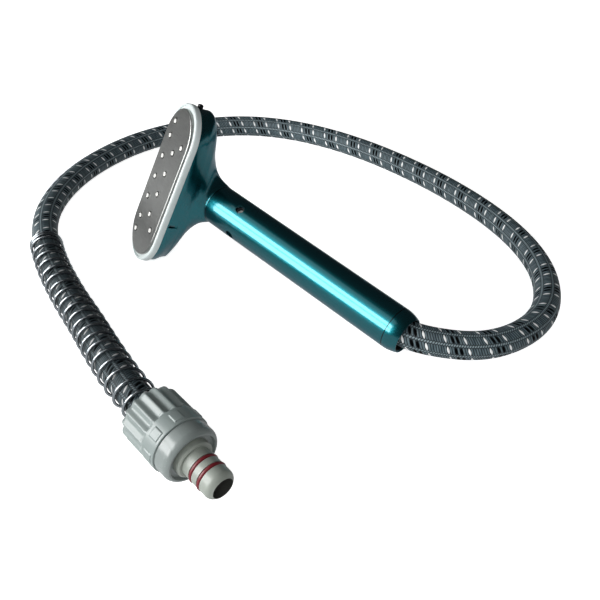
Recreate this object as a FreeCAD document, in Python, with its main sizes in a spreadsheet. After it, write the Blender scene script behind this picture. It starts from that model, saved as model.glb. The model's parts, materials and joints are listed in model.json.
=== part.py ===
import FreeCAD, Part
import math
import os
import Sketcher
from FreeCAD import Placement, Rotation, Vector

# Handheld bath sprayer: a T-shaped hand head on a round handle, a braided hose and a quick connector.
# Millimetres, +Z up. The sprayer lies at rest: the tail of the handle and the lower end of the head
# touch the ground, +X runs from the head to the tail, and the face plate looks to -Y and up.

SIZES = [
    ("handle_radius", 15.6, "outside radius of the handle sleeve"),
    ("sleeve_wall", 2.4, "wall of the sleeve and of the head shell"),
    ("seam_gap", 0.25, "open seam between two visible pieces"),
    ("slip", 0.1, "radial clearance of a slip fit"),
    ("neck_station", 184.1, "neck seam, from the tail end"),
    ("cap_length", 10.8, "visible length of the end cap"),
    ("cap_end_radius", 13.4, "end cap at the tail end"),
    ("cap_crown_radius", 27.0, "radius of the end cap's rounded outline"),
    ("cap_plug_length", 11.0, "part of the end cap inside the sleeve"),
    ("cap_bore_radius", 12.2, "bore of the end cap"),
    ("cap_lip", 1.0, "how deep the gland sits behind the tail end"),
    ("gland_length", 15.0, "length of the hose gland"),
    ("gland_flare", 1.9, "how much wider the gland opens at its mouth"),
    ("core_behind_seam", 38.0, "neck core inside the sleeve"),
    ("core_past_seam", 6.0, "neck core inside the shell"),
    ("core_bore_radius", 7.4, "bore of the neck core"),
    ("screw_setback", 26.0, "neck screws, back from the neck seam"),
    ("screw_recess_radius", 3.5, "hole in the sleeve over a neck screw"),
    ("screw_head_radius", 2.8, "neck screw head"),
    ("screw_head_height", 1.7, "neck screw head"),
    ("screw_head_sink", 2.4, "screw head below the core's surface"),
    ("screw_shank_radius", 1.45, "neck screw shank"),
    ("screw_shank_length", 3.0, "neck screw shank"),
    ("screw_slot_width", 0.9, "bar of the cross in a screw head"),
    ("screw_slot_depth", 0.9, "depth of the cross in a screw head"),
    ("plate_station", 220.1, "centre of the face plate, along the handle axis"),
    ("plate_offset", 32.6, "centre of the face plate, in front of the axis"),
    ("plate_turn", 63.4, "angle from the handle axis to the plate's normal, degrees"),
    ("plate_half_length", 59.5, "face plate, half its length"),
    ("plate_half_width", 23.9, "face plate, half its width"),
    ("plate_thickness", 1.2, "sheet of the face plate"),
    ("plate_skirt", 2.6, "depth of the turned-down edge"),
    ("plate_edge_radius", 0.9, "rolled edge of the face plate"),
    ("plate_hole_radius", 2.6, "hole in the face plate for a pip"),
    ("row_pitch", 17.2, "spacing of the outlets along a column"),
    ("end_row", 46.0, "outermost outlets, from the middle"),
    ("lead_column", 12.6, "outlet column on the leading side"),
    ("middle_column", 3.2, "middle outlet column, on the tail side"),
    ("tail_column", 14.4, "outlet column on the tail side"),
    ("mat_thickness", 1.35, "sheet of the nozzle mat"),
    ("pip_radius", 2.1, "nozzle pip at its root"),
    ("pip_tip_radius", 1.6, "nozzle pip at its tip"),
    ("pip_proud", 0.9, "nozzle pip in front of the face plate"),
    ("pip_bore_radius", 0.6, "outlet bore of a pip"),
    ("face_clearance", 0.05, "gap between stacked flat faces"),
    ("rim_end_width", 4.8, "rim beyond the plate at its ends"),
    ("rim_side_width", 2.4, "rim beyond the plate at its sides"),
    ("rim_gap", 0.7, "groove between the plate and the rim"),
    ("rim_top", 1.5, "rim's crown below the plate's face"),
    ("rim_back", 4.6, "rim's back below the plate's face"),
    ("rim_crown_radius", 1.0, "rounding of the rim's crown"),
    ("ledge_width", 3.6, "ledge of the rim under the plate"),
    ("shell_step", 0.7, "shell inside the rim's outline"),
    ("shell_depth", 59.0, "reach of the shell behind the face, at the neck"),
    ("chamber_wall", 1.6, "wall of the water chamber"),
    ("chamber_depth", 12.5, "floor of the water chamber below the plate's face"),
    ("chamber_flange", 1.7, "flange of the water chamber"),
    ("chamber_flange_width", 4.3, "flange beyond the chamber's wall"),
    ("chamber_screw_radius", 0.9, "chamber screw shank"),
    ("chamber_screw_head", 1.4, "chamber screw head radius"),
    ("chamber_screw_row", 32.0, "side screws, from the middle"),
    ("chamber_screw_margin", 1.5, "screw axis, out from the chamber's wall"),
    ("chamber_screw_grip", 1.1, "screw inside the rim's ledge"),
    ("socket_length", 9.0, "socket at the chamber's back"),
    ("socket_wall", 2.6, "wall of the socket"),
    ("spreader_radius", 10.0, "flow spreader"),
    ("spreader_thickness", 1.2, "flow spreader"),
    ("spreader_rise", 1.4, "pegs under the flow spreader"),
    ("pipe_radius", 5.0, "inlet pipe outside"),
    ("pipe_bore_radius", 3.4, "inlet pipe inside"),
    ("pipe_bend_radius", 14.0, "inlet pipe's bend"),
    ("pipe_corner_station", 202.0, "where the pipe turns towards the plate"),
    ("pipe_start", 44.0, "tail end of the inlet pipe"),
    ("pipe_entry", 7.6, "pipe's depth in the chamber's socket"),
    ("seal_cord_radius", 0.6, "O-rings on the pipe"),
    ("bracket_station", 104.0, "pipe bracket along the handle"),
    ("bracket_length", 8.0, "pipe bracket"),
    ("bracket_hole_radius", 2.2, "lightening hole of the bracket"),
    ("hose_radius", 10.0, "braided hose outside"),
    ("braid_wall", 2.4, "braided cover"),
    ("liner_radius", 7.5, "rubber liner outside"),
    ("liner_bore_radius", 4.7, "hose bore"),
    ("hose_entry", 25.3, "hose end inside the handle"),
    ("ferrule_wall", 1.0, "crimped ferrules"),
    ("ferrule_length", 10.0, "ferrule in the handle"),
    ("barb_radius", 4.6, "hose barb, ridges"),
    ("barb_root_radius", 4.2, "hose barb, between ridges"),
    ("barb_length", 15.0, "hose barb inside the liner"),
    ("barb_pitch", 4.0, "ridges of a barb"),
    ("barb_bore_radius", 3.2, "bore of a barb"),
    ("barb_collar_radius", 8.4, "collar between barb and pipe socket"),
    ("nut_length", 33.0, "lock nut"),
    ("nut_radius", 19.0, "lock nut outside, between its flutes"),
    ("nut_rear_radius", 14.8, "lock nut at its rear face"),
    ("nut_shoulder", 4.4, "length of the rounded rear shoulder"),
    ("nut_crown_radius", 6.0, "rounding of the rear shoulder"),
    ("nut_rear_bore", 13.5, "opening for the hose and spring"),
    ("nut_cavity_radius", 15.9, "inside of the lock nut"),
    ("nut_flange", 4.1, "inner flange that turns on the hub"),
    ("nut_flute_count", 16, "grip flutes"),
    ("nut_flute_width", 4.2, "grip flute"),
    ("nut_flute_depth", 1.5, "grip flute"),
    ("nut_flute_front", 10.3, "flutes end this far behind the seam"),
    ("nut_pad_count", 8, "raised pads at the front edge"),
    ("nut_pad_width", 6.0, "raised pad"),
    ("nut_pad_height", 0.5, "raised pad, above the nut"),
    ("nut_pad_back", 8.4, "rear edge of a pad, behind the seam"),
    ("nut_pad_front", 2.2, "front edge of a pad, behind the seam"),
    ("turn_clearance", 0.08, "running clearance of nut on hub"),
    ("collar_radius", 18.1, "lock collar outside"),
    ("collar_length", 11.0, "lock collar in front of the seam"),
    ("collar_shoulder", 3.4, "rounded front shoulder"),
    ("collar_front_radius", 16.2, "lock collar's front edge"),
    ("collar_crown_radius", 5.2, "rounding of the front shoulder"),
    ("collar_recess_radius", 15.2, "front recess"),
    ("collar_floor", 8.6, "floor of the front recess, from the seam"),
    ("hub_radius", 14.5, "hub that the nut turns on"),
    ("hub_length", 6.6, "hub behind the seam"),
    ("clip_thickness", 0.9, "retaining clip"),
    ("clip_depth", 0.9, "clip groove"),
    ("clip_radius", 15.5, "retaining clip outside"),
    ("clip_opening", 50.0, "gap of the clip, degrees"),
    ("stem_radius", 9.9, "spigot stem inside the collar"),
    ("flange_radius", 11.8, "spigot's base flange"),
    ("flange_front", 13.4, "front of the base flange"),
    ("spigot_radius", 9.4, "spigot outside"),
    ("spigot_bore_radius", 6.6, "spigot bore"),
    ("spigot_tip", 37.0, "spigot's tip, from the seam"),
    ("spigot_tip_radius", 7.5, "spigot at its tip"),
    ("spigot_tip_round", 4.6, "length of the rounded tip"),
    ("spigot_crown_radius", 4.4, "radius of the rounded tip"),
    ("ring_cord_radius", 1.15, "spigot O-ring cord"),
    ("ring_proud", 0.45, "O-ring above the spigot"),
    ("ring_rear", 20.2, "rear O-ring, from the seam"),
    ("ring_front", 27.0, "front O-ring, from the seam"),
    ("ring_groove_width", 2.7, "O-ring groove"),
    ("hose_stop", 8.0, "hose end, behind the seam"),
    ("cup_station", 27.0, "spring cup, behind the seam"),
    ("cup_thickness", 2.0, "spring cup"),
    ("cup_radius", 14.4, "spring cup"),
    ("spring_radius", 11.6, "spring, to the wire's centre"),
    ("spring_wire_radius", 0.95, "spring wire"),
    ("spring_length", 229.0, "spring along the hose"),
    ("spring_open_turns", 20, "open turns"),
    ("spring_close_turns", 2, "close turns at the far end"),
    ("spring_close_pitch", 2.8, "pitch of the close turns"),
    ("stud_radius", 2.2, "catch stud"),
    ("stud_height", 2.4, "catch stud above the shell"),
    ("stud_root", 1.6, "catch stud in the shell's wall"),
    ("stud_side", 5.0, "catch stud, towards the leading side"),
    ("stud_depth", 11.2, "catch stud below the plate's face"),
    ("slot_place", 22.6, "slot, from the middle of the shell"),
    ("slot_width", 1.4, "slot in the shell"),
    ("slot_start", 6.6, "slot's front end below the plate's face"),
    ("slot_length", 6.0, "slot in the shell"),
    ("rest_tilt", 9.95, "rise of the handle towards the head, degrees"),
    ("rest_roll", 20.9, "lean of the head at rest, degrees"),
    ("rest_heading", 0.9, "turn of the handle in plan, degrees"),
    ("connector_x", -25.5, "seam of the connector, from the tail end"),
    ("connector_y", -179.9, "seam of the connector, from the tail end"),
    ("connector_heading", -5.3, "connector axis in plan, degrees"),
    ("connector_droop", 5.5, "connector axis below level, degrees"),
]

# Rows of the shell, from the rim to the neck: share of the way on the tail side, dip there,
# share of the way on the leading side, bulge there, share of the rim's reach lengthwise.
SHELL_ROWS = [
    (0.00, 0.0, 0.000, 0.0, 1.000),
    (0.18, 0.0, 0.083, 3.3, 0.990),
    (0.35, 0.4, 0.179, 6.4, 0.967),
    (0.50, 0.8, 0.290, 9.1, 0.900),
    (0.60, 1.2, 0.411, 10.7, 0.717),
    (0.70, 1.3, 0.555, 11.0, 0.467),
    (0.81, 1.0, 0.720, 9.2, 0.227),
    (0.905, 0.5, 0.869, 5.4, 0.070),
    (1.00, 0.0, 1.000, 0.0, 0.000),
]
NECK_FLAT = 0.15
NECK_STEP = 0.6
STEEPEST_WALL = 2.2

# The hose's route on the ground from the tail to the connector, as X, Y from the tail end and Z.
ROUTE = [
    (8.5, 4.6, 13.4),
    (22.0, 14.5, 11.6),
    (34.0, 25.5, 10.4),
    (44.0, 39.0, 10.0),
    (51.0, 57.0, 10.0),
    (54.0, 78.0, 10.0),
    (51.5, 100.0, 10.0),
    (43.0, 122.0, 10.0),
    (29.5, 143.5, 10.0),
    (13.0, 162.0, 10.0),
    (-9.0, 180.0, 10.0),
    (-38.0, 197.0, 10.0),
    (-74.0, 212.0, 10.0),
    (-118.0, 224.5, 10.0),
    (-165.0, 232.0, 10.0),
    (-213.0, 235.0, 10.0),
    (-260.0, 231.0, 10.0),
    (-304.0, 218.5, 10.0),
    (-340.0, 195.5, 10.0),
    (-364.5, 163.0, 10.0),
    (-379.5, 125.0, 10.0),
    (-384.5, 83.0, 10.0),
    (-379.5, 40.0, 10.0),
    (-364.5, -6.5, 10.0),
    (-337.5, -51.0, 10.4),
    (-299.0, -88.0, 12.3),
    (-250.0, -114.5, 12.6),
    (-200.0, -133.0, 12.8),
    (-160.0, -145.5, 15.0),
    (-118.0, -161.5, 20.5),
]
ROUTE_SHARE = 0.45
TAIL_CORNER = 4.5
CONNECTOR_CORNER = 46.0

doc = FreeCAD.newDocument("HandheldSprayer")
sheet = doc.addObject("Spreadsheet::Sheet", "Sizes")


class Size:
    """A length that carries its number and its formula in the sheet."""

    def __init__(self, number, formula):
        self.number = float(number)
        self.formula = formula

    def __add__(self, other):
        other = as_size(other)
        return Size(self.number + other.number, "%s + %s" % (self.formula, other.formula))

    def __radd__(self, other):
        return as_size(other) + self

    def __sub__(self, other):
        other = as_size(other)
        return Size(self.number - other.number, "%s - (%s)" % (self.formula, other.formula))

    def __rsub__(self, other):
        return as_size(other) - self

    def __mul__(self, factor):
        return Size(self.number * factor, "(%s) * %r" % (self.formula, factor))

    def __neg__(self):
        return Size(-self.number, "-1 * (%s)" % self.formula)

    def __float__(self):
        return self.number


def as_size(value):
    """A plain number or a Size, as a Size."""
    return value if isinstance(value, Size) else Size(value, repr(float(value)))


class Sizes:
    """Every named size of the sheet, as an attribute."""


def fill_sheet():
    """Write the driving dimensions, one alias a row, and return them by name."""
    names = Sizes()
    for row, (alias, number, note) in enumerate(SIZES, start=1):
        sheet.set("A%d" % row, alias)
        sheet.set("B%d" % row, str(number))
        sheet.set("C%d" % row, note)
        sheet.setAlias("B%d" % row, alias)
    doc.recompute()
    for alias, _number, _note in SIZES:
        setattr(names, alias, Size(sheet.get(alias), "Sizes." + alias))
    return names


S = fill_sheet()


def degrees_sin(size):
    """Sine of an angle in degrees, with its formula."""
    return Size(math.sin(math.radians(size.number)), "sin(%s * 1deg)" % size.formula)


def degrees_cos(size):
    """Cosine of an angle in degrees, with its formula."""
    return Size(math.cos(math.radians(size.number)), "cos(%s * 1deg)" % size.formula)


def product(first, second):
    """The product of two sizes."""
    return Size(first.number * second.number, "(%s) * (%s)" % (first.formula, second.formula))


def new_body(label):
    """An empty body for one piece."""
    body = doc.addObject("PartDesign::Body", label)
    body.Label = label
    return body


def new_sketch(body, role, height=0.0):
    """A sketch on one of the body's own planes, lifted along the plane's normal."""
    plane = next(item for item in body.Origin.OriginFeatures if item.Role == role)
    sketch = body.newObject("Sketcher::SketchObject", body.Label + "_sketch")
    sketch.AttachmentSupport = [(plane, "")]
    sketch.MapMode = "FlatFace"
    height = as_size(height)
    sketch.AttachmentOffset = Placement(Vector(0, 0, height.number), Rotation())
    if "Sizes." in height.formula:
        sketch.setExpression("AttachmentOffset.Base.z", height.formula)
    return sketch


def drive(sketch, kind, where, size):
    """Add one dimension to a sketch and bind it to the sheet."""
    size = as_size(size)
    index = sketch.addConstraint(Sketcher.Constraint(kind, *where, size.number))
    if "Sizes." in size.formula:
        sketch.setExpression("Constraints[%d]" % index, size.formula)


def draw_outline(sketch, points):
    """Draw a closed outline of (x, y) points; a third value is the radius of the arc that follows.

    A positive radius bulges to the left of the way to the next point.
    """
    corners = [(float(as_size(p[0])), float(as_size(p[1]))) for p in points]
    edges = []
    for index, point in enumerate(points):
        here = Vector(*corners[index], 0)
        there = Vector(*corners[(index + 1) % len(points)], 0)
        if len(point) == 3:
            radius = float(as_size(point[2]))
            half = (there - here) * 0.5
            left = Vector(-half.y, half.x, 0).normalize()
            reach = abs(radius) - math.sqrt(radius ** 2 - half.Length ** 2)
            middle = here + half + left * math.copysign(reach, radius)
            ccw = (here, middle, there) if radius < 0 else (there, middle, here)
            edges.append(sketch.addGeometry(Part.Arc(*ccw)))
        else:
            edges.append(sketch.addGeometry(Part.LineSegment(here, there)))
    ends = []
    for index, edge in enumerate(edges):
        line = sketch.Geometry[edge]
        here = Vector(*corners[index], 0)
        ends.append((1, 2) if (line.StartPoint - here).Length < 1e-6 else (2, 1))
    for index, edge in enumerate(edges):
        after = (index + 1) % len(edges)
        pair = (edge, ends[index][1], edges[after], ends[after][0])
        sketch.addConstraint(Sketcher.Constraint("Coincident", *pair))
        x, y = points[index][0], points[index][1]
        drive(sketch, "DistanceX", (-1, 1, edge, ends[index][0]), x)
        drive(sketch, "DistanceY", (-1, 1, edge, ends[index][0]), y)
        if len(points[index]) == 3:
            radius = as_size(points[index][2])
            drive(sketch, "Radius", (edge,), radius if radius.number > 0 else -radius)


def draw_stadium(sketch, half_length, half_width):
    """Draw a stadium that is long in X: two straight sides and two half circles."""
    straight = half_length - half_width
    a, w = straight.number, half_width.number
    top = sketch.addGeometry(Part.LineSegment(Vector(a, w, 0), Vector(-a, w, 0)))
    left = sketch.addGeometry(Part.Arc(Vector(-a, w, 0), Vector(-a - w, 0, 0), Vector(-a, -w, 0)))
    low = sketch.addGeometry(Part.LineSegment(Vector(-a, -w, 0), Vector(a, -w, 0)))
    right = sketch.addGeometry(Part.Arc(Vector(a, -w, 0), Vector(a + w, 0, 0), Vector(a, w, 0)))
    for first, second in ((top, left), (left, low), (low, right), (right, top)):
        near = [(i, sketch.getPoint(first, i)) for i in (1, 2)]
        far = [(i, sketch.getPoint(second, i)) for i in (1, 2)]
        pair = min(((i, j) for i in near for j in far), key=lambda p: (p[0][1] - p[1][1]).Length)
        sketch.addConstraint(Sketcher.Constraint("Coincident", first, pair[0][0], second, pair[1][0]))
    for arc, place in ((left, -straight), (right, straight)):
        drive(sketch, "DistanceX", (-1, 1, arc, 3), place)
        drive(sketch, "DistanceY", (-1, 1, arc, 3), 0.0)
        drive(sketch, "Radius", (arc,), half_width)
    for line, x in ((top, straight), (low, -straight)):
        drive(sketch, "DistanceX", (-1, 1, line, 1), x)
        drive(sketch, "DistanceX", (-1, 1, line, 2), -x)


def draw_circle(sketch, x, y, radius):
    """Draw one circle, its centre and radius bound to the sheet."""
    x, y = as_size(x), as_size(y)
    circle = sketch.addGeometry(Part.Circle(Vector(x.number, y.number, 0), Vector(0, 0, 1), float(radius)))
    drive(sketch, "DistanceX", (-1, 1, circle, 3), x)
    drive(sketch, "DistanceY", (-1, 1, circle, 3), y)
    drive(sketch, "Radius", (circle,), radius)


def revolve(body, points, cut=False):
    """Turn an outline of (station, radius) points about the body's X axis."""
    sketch = new_sketch(body, "XY_Plane")
    draw_outline(sketch, points)
    kind = "PartDesign::Groove" if cut else "PartDesign::Revolution"
    feature = body.newObject(kind, body.Label + ("_groove" if cut else "_turned"))
    feature.Profile = sketch
    feature.ReferenceAxis = (sketch, ["H_Axis"])
    feature.Angle = 360
    doc.recompute()
    return feature


def extrude(body, sketch, length, cut=False, backwards=False, symmetric=False):
    """Pad a sketch along its normal, or pocket it; backwards turns either round."""
    kind = "PartDesign::Pocket" if cut else "PartDesign::Pad"
    feature = body.newObject(kind, body.Label + ("_pocket" if cut else "_pad"))
    feature.Profile = sketch
    length = as_size(length)
    feature.Length = length.number
    if "Sizes." in length.formula:
        feature.setExpression("Length", length.formula)
    feature.Reversed = backwards
    feature.Midplane = symmetric
    doc.recompute()
    return feature


def turn_pattern(body, feature, count):
    """Repeat a feature round the body's X axis."""
    axis = next(item for item in body.Origin.OriginFeatures if item.Role == "X_Axis")
    pattern = body.newObject("PartDesign::PolarPattern", body.Label + "_round")
    pattern.Originals = [feature]
    pattern.Axis = (axis, [""])
    pattern.Angle = 360
    pattern.Occurrences = int(count.number)
    pattern.setExpression("Occurrences", count.formula)
    body.Tip = pattern
    doc.recompute()
    return pattern


def round_edges(body, radius, wanted):
    """Fillet the edges of the body's present shape that the test accepts."""
    base = body.Tip
    names = ["Edge%d" % (i + 1) for i, edge in enumerate(base.Shape.Edges) if wanted(edge)]
    fillet = body.newObject("PartDesign::Fillet", body.Label + "_round_edge")
    fillet.Base = (base, names)
    fillet.Radius = radius.number
    fillet.setExpression("Radius", radius.formula)
    doc.recompute()
    return fillet


def at_height(z, reach=1e9):
    """A test for edges that lie in the plane z, within a distance of the Z axis."""
    def wanted(edge):
        box = edge.BoundBox
        flat = abs(box.ZMin - z) < 1e-4 and abs(box.ZMax - z) < 1e-4
        return flat and max(abs(box.YMin), abs(box.YMax)) < reach
    return wanted


def outside(wanted, span):
    """Keep only the edges that reach past a distance from the middle in Y."""
    return lambda edge: wanted(edge) and max(abs(edge.BoundBox.YMin), abs(edge.BoundBox.YMax)) > span


def feature_of(label, shape):
    """A piece whose shape is worked out here."""
    piece = doc.addObject("Part::Feature", label)
    piece.Label = label
    piece.Shape = shape
    return piece


def cylinder(radius, length, base, direction):
    """A plain round bar."""
    return Part.makeCylinder(float(radius), float(length), base, direction)


# Frames. The handle's X runs from the tail end to the head along its axis, Y to the face plate's side
# and Z along the head. The plate's X runs along the head, Y across it and Z out of its face.
HANDLE_TURN = (
    Rotation(Vector(0, 0, 1), 180 + S.rest_heading.number)
    * Rotation(Vector(0, 1, 0), -S.rest_tilt.number)
    * Rotation(Vector(1, 0, 0), S.rest_roll.number)
)
FACE_NORMAL = Vector(degrees_cos(S.plate_turn).number, degrees_sin(S.plate_turn).number, 0)
FACE_ACROSS = Vector(FACE_NORMAL.y, -FACE_NORMAL.x, 0)
PLATE_IN_HANDLE = Placement(
    Vector(S.plate_station.number, S.plate_offset.number, 0),
    Rotation(Vector(0, 0, 1), FACE_ACROSS, FACE_NORMAL, "ZXY"),
)
HANDLE_IN_PLATE = PLATE_IN_HANDLE.inverse()


def rim_reach():
    """Half length and half width of the rim's outline."""
    return S.plate_half_length + S.rim_end_width, S.plate_half_width + S.rim_side_width


def shell_sections(wall):
    """Corner data of the shell's sections, in the plate's frame.

    Each is the middle, the half width, the half length and the direction across. The sections fan
    from the rim's plane to the neck's, so the shell turns from the plate's normal to the handle axis.
    """
    rim_length, rim_width = rim_reach()
    half_width = rim_width.number - S.shell_step.number
    half_length = rim_length.number - S.shell_step.number
    front = -S.rim_back.number
    radius = S.handle_radius.number
    centre = HANDLE_IN_PLATE.multVec(Vector(S.neck_station.number, 0, 0))
    axis = HANDLE_IN_PLATE.Rotation.multVec(Vector(1, 0, 0))
    side = Vector(0, -axis.z, axis.y)
    near_ends = (Vector(0, -half_width, front), centre + side * radius)
    far_ends = (Vector(0, half_width, front), centre - side * radius)
    chord = far_ends[1] - far_ends[0]
    outward = Vector(0, -chord.z, chord.y).normalize()
    rows = []
    for near_share, dip, far_share, bulge, reach in SHELL_ROWS:
        near = near_ends[0] + (near_ends[1] - near_ends[0]) * near_share + Vector(0, dip, 0)
        far = far_ends[0] + chord * far_share + outward * bulge
        rows.append((near, far, radius + (half_length - radius) * reach))
    sections = []
    for index, (near, far, length) in enumerate(rows):
        before, after = rows[max(index - 1, 0)], rows[min(index + 1, len(rows) - 1)]
        travel = ((after[0] + after[1]) - (before[0] + before[1])).Length * 0.5
        slope = min(math.hypot(1.0, (after[2] - before[2]) / travel), STEEPEST_WALL)
        if index in (0, len(rows) - 1):
            slope = 1.0
        across = (far - near).normalize()
        step = NECK_STEP if index == len(rows) - 1 and wall else 0.0
        half = (far - near).Length * 0.5 - wall - step
        reach = max(length - wall * slope, half + NECK_FLAT)
        sections.append(((near + far) * 0.5, half, reach, across))
    return sections


def stadium_wire(middle, half_width, half_length, across, along=Vector(1, 0, 0)):
    """A stadium of two lines and four quarter arcs, on a plane given by two directions."""
    straight = half_length - half_width

    def point(end, angle):
        turn = math.radians(angle)
        run = end * straight + half_width * math.cos(turn)
        return middle + along * run + across * (half_width * math.sin(turn))

    edges = [
        Part.Arc(point(1, 0), point(1, 45), point(1, 90)).toShape(),
        Part.LineSegment(point(1, 90), point(-1, 90)).toShape(),
        Part.Arc(point(-1, 90), point(-1, 135), point(-1, 180)).toShape(),
        Part.Arc(point(-1, 180), point(-1, 225), point(-1, 270)).toShape(),
        Part.LineSegment(point(-1, 270), point(1, 270)).toShape(),
        Part.Arc(point(1, 270), point(1, 315), point(1, 360)).toShape(),
    ]
    return Part.Wire(edges)


def shell_solid(wall):
    """The shell's outside, or its cavity when it is drawn in by a wall."""
    return Part.makeLoft([stadium_wire(*section) for section in shell_sections(wall)], True, False)


def make_head_shell():
    """The teal shell: a fan-shaped loft from the rim to the neck, hollow, with its bore and slot."""
    wall = S.sleeve_wall.number
    shape = shell_solid(0.0).cut(shell_solid(wall))
    seam = HANDLE_IN_PLATE.multVec(Vector(S.neck_station.number - wall, 0, 0))
    axis = HANDLE_IN_PLATE.Rotation.multVec(Vector(1, 0, 0))
    bore = cylinder(S.handle_radius.number - wall, wall + S.core_past_seam.number, seam, axis)
    half_width = rim_reach()[1].number - S.shell_step.number
    slot = Part.makeBox(
        S.slot_width.number,
        wall * 3,
        S.slot_length.number,
        Vector(-S.slot_place.number, -half_width - wall, -S.slot_start.number - S.slot_length.number),
    )
    stud_seat = stud_bar(S.stud_radius.number + S.slip.number, S.stud_height.number)
    return feature_of("head_shell", shape.cut(bore).cut(slot).cut(stud_seat))


def stud_bar(radius, height):
    """A bar at the catch stud's place, from its root in the wall up to a height above the shell."""
    half_length = rim_reach()[0].number - S.shell_step.number
    half_width = rim_reach()[1].number - S.shell_step.number
    end = half_length - half_width + math.sqrt(half_width ** 2 - S.stud_side.number ** 2)
    base = Vector(end - S.stud_root.number, S.stud_side.number, -S.stud_depth.number)
    return cylinder(radius, S.stud_root.number + height + 0.01, base, Vector(1, 0, 0))


def make_catch_stud():
    """Small domed stud on the head's upper end."""
    radius = S.stud_radius.number
    bar = stud_bar(radius, S.stud_height.number)
    top = max(bar.Edges, key=lambda edge: edge.BoundBox.XMin)
    return feature_of("catch_stud", bar.makeFillet(radius * 0.6, [top]))


def outlet_places():
    """The outlets of the face as (along, across): seven, four and two in three columns."""
    pitch = S.row_pitch
    places = [(pitch * 0.0, S.lead_column)]
    for side in (1, -1):
        places.append((pitch * side, S.lead_column))
        places.append((pitch * (2 * side), S.lead_column))
        places.append((S.end_row * side, S.lead_column))
        places.append((pitch * (0.5 * side), -S.middle_column))
        places.append((pitch * (1.5 * side), -S.middle_column))
        places.append((pitch * (2 * side), -S.tail_column))
    return places


def make_face_plate():
    """Stadium pan with a rolled edge and the outlet holes."""
    body = new_body("face_plate")
    outline = new_sketch(body, "XY_Plane")
    draw_stadium(outline, S.plate_half_length, S.plate_half_width)
    extrude(body, outline, S.plate_skirt, backwards=True)
    inner = new_sketch(body, "XY_Plane", -S.plate_skirt)
    wall = S.plate_thickness
    draw_stadium(inner, S.plate_half_length - wall, S.plate_half_width - wall)
    extrude(body, inner, S.plate_skirt - wall, cut=True, backwards=True)
    holes = new_sketch(body, "XY_Plane")
    for along, across in outlet_places():
        draw_circle(holes, along, across, S.plate_hole_radius)
    extrude(body, holes, S.plate_skirt, cut=True)
    edge = outside(at_height(0.0), S.plate_half_width.number - wall.number)
    round_edges(body, S.plate_edge_radius, edge)
    return body


def make_nozzle_mat():
    """Moulded mat behind the plate, with a bored pip in each hole."""
    top = -(S.plate_thickness.number + S.face_clearance.number)
    thickness = S.mat_thickness.number
    inset = S.plate_thickness.number + S.slip.number
    half_width = S.plate_half_width.number - inset
    wire = stadium_wire(
        Vector(0, 0, top - thickness), half_width, S.plate_half_length.number - inset, Vector(0, 1, 0)
    )
    mat = Part.Face(wire).extrude(Vector(0, 0, thickness))
    up = Vector(0, 0, 1)
    height = S.pip_proud.number - top
    for along, across in outlet_places():
        root = Vector(along.number, across.number, top - thickness)
        pip_base = Vector(along.number, across.number, top)
        tip = Part.makeCone(S.pip_radius.number, S.pip_tip_radius.number, height, pip_base, up)
        edge = max(tip.Edges, key=lambda item: item.BoundBox.ZMin)
        mat = mat.fuse(tip.makeFillet(S.pip_tip_radius.number * 0.4, [edge]))
        mat = mat.cut(cylinder(S.pip_bore_radius, thickness + height, root, up))
    return feature_of("nozzle_mat", mat.removeSplitter())


def make_rim_bumper():
    """Pale frame round the plate: crowned outside, with a ledge that carries plate and mat."""
    body = new_body("rim_bumper")
    length, width = rim_reach()
    outline = new_sketch(body, "XY_Plane", -S.rim_back)
    draw_stadium(outline, length, width)
    extrude(body, outline, S.rim_back - S.rim_top)
    well = new_sketch(body, "XY_Plane", -S.rim_top)
    draw_stadium(well, S.plate_half_length + S.rim_gap, S.plate_half_width + S.rim_gap)
    ledge_top = S.plate_skirt + S.face_clearance
    extrude(body, well, ledge_top - S.rim_top, cut=True)
    window = new_sketch(body, "XY_Plane", -S.rim_top)
    draw_stadium(window, S.plate_half_length - S.ledge_width, S.plate_half_width - S.ledge_width)
    extrude(body, window, S.rim_back, cut=True)
    pilots = new_sketch(body, "XY_Plane", -S.rim_back)
    for along, across in chamber_screw_places():
        draw_circle(pilots, along, across, S.chamber_screw_radius + S.face_clearance)
    extrude(body, pilots, S.chamber_screw_grip + S.slip, cut=True, backwards=True)
    crown = outside(at_height(-S.rim_top.number), S.plate_half_width.number + 2 * S.rim_gap.number)
    round_edges(body, S.rim_crown_radius, crown)
    return body


def chamber_reach():
    """Half length and half width of the chamber's wall, inside the rim's ledge."""
    inset = S.ledge_width + S.slip * 3
    return S.plate_half_length - inset, S.plate_half_width - inset


def chamber_screw_places():
    """Two screws at the ends of the flange and three along each side."""
    length, width = chamber_reach()
    margin = S.chamber_screw_margin
    places = [(length + margin, as_size(0.0)), (-(length + margin), as_size(0.0))]
    for side in (1, -1):
        across = (width + margin) * side
        places += [(S.chamber_screw_row * row, across) for row in (-1, 0, 1)]
    return places


def socket_place():
    """Where the inlet pipe meets the chamber, across the plate."""
    along = product(S.pipe_corner_station - S.plate_station, degrees_sin(S.plate_turn))
    return along + product(S.plate_offset, degrees_cos(S.plate_turn))


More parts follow.
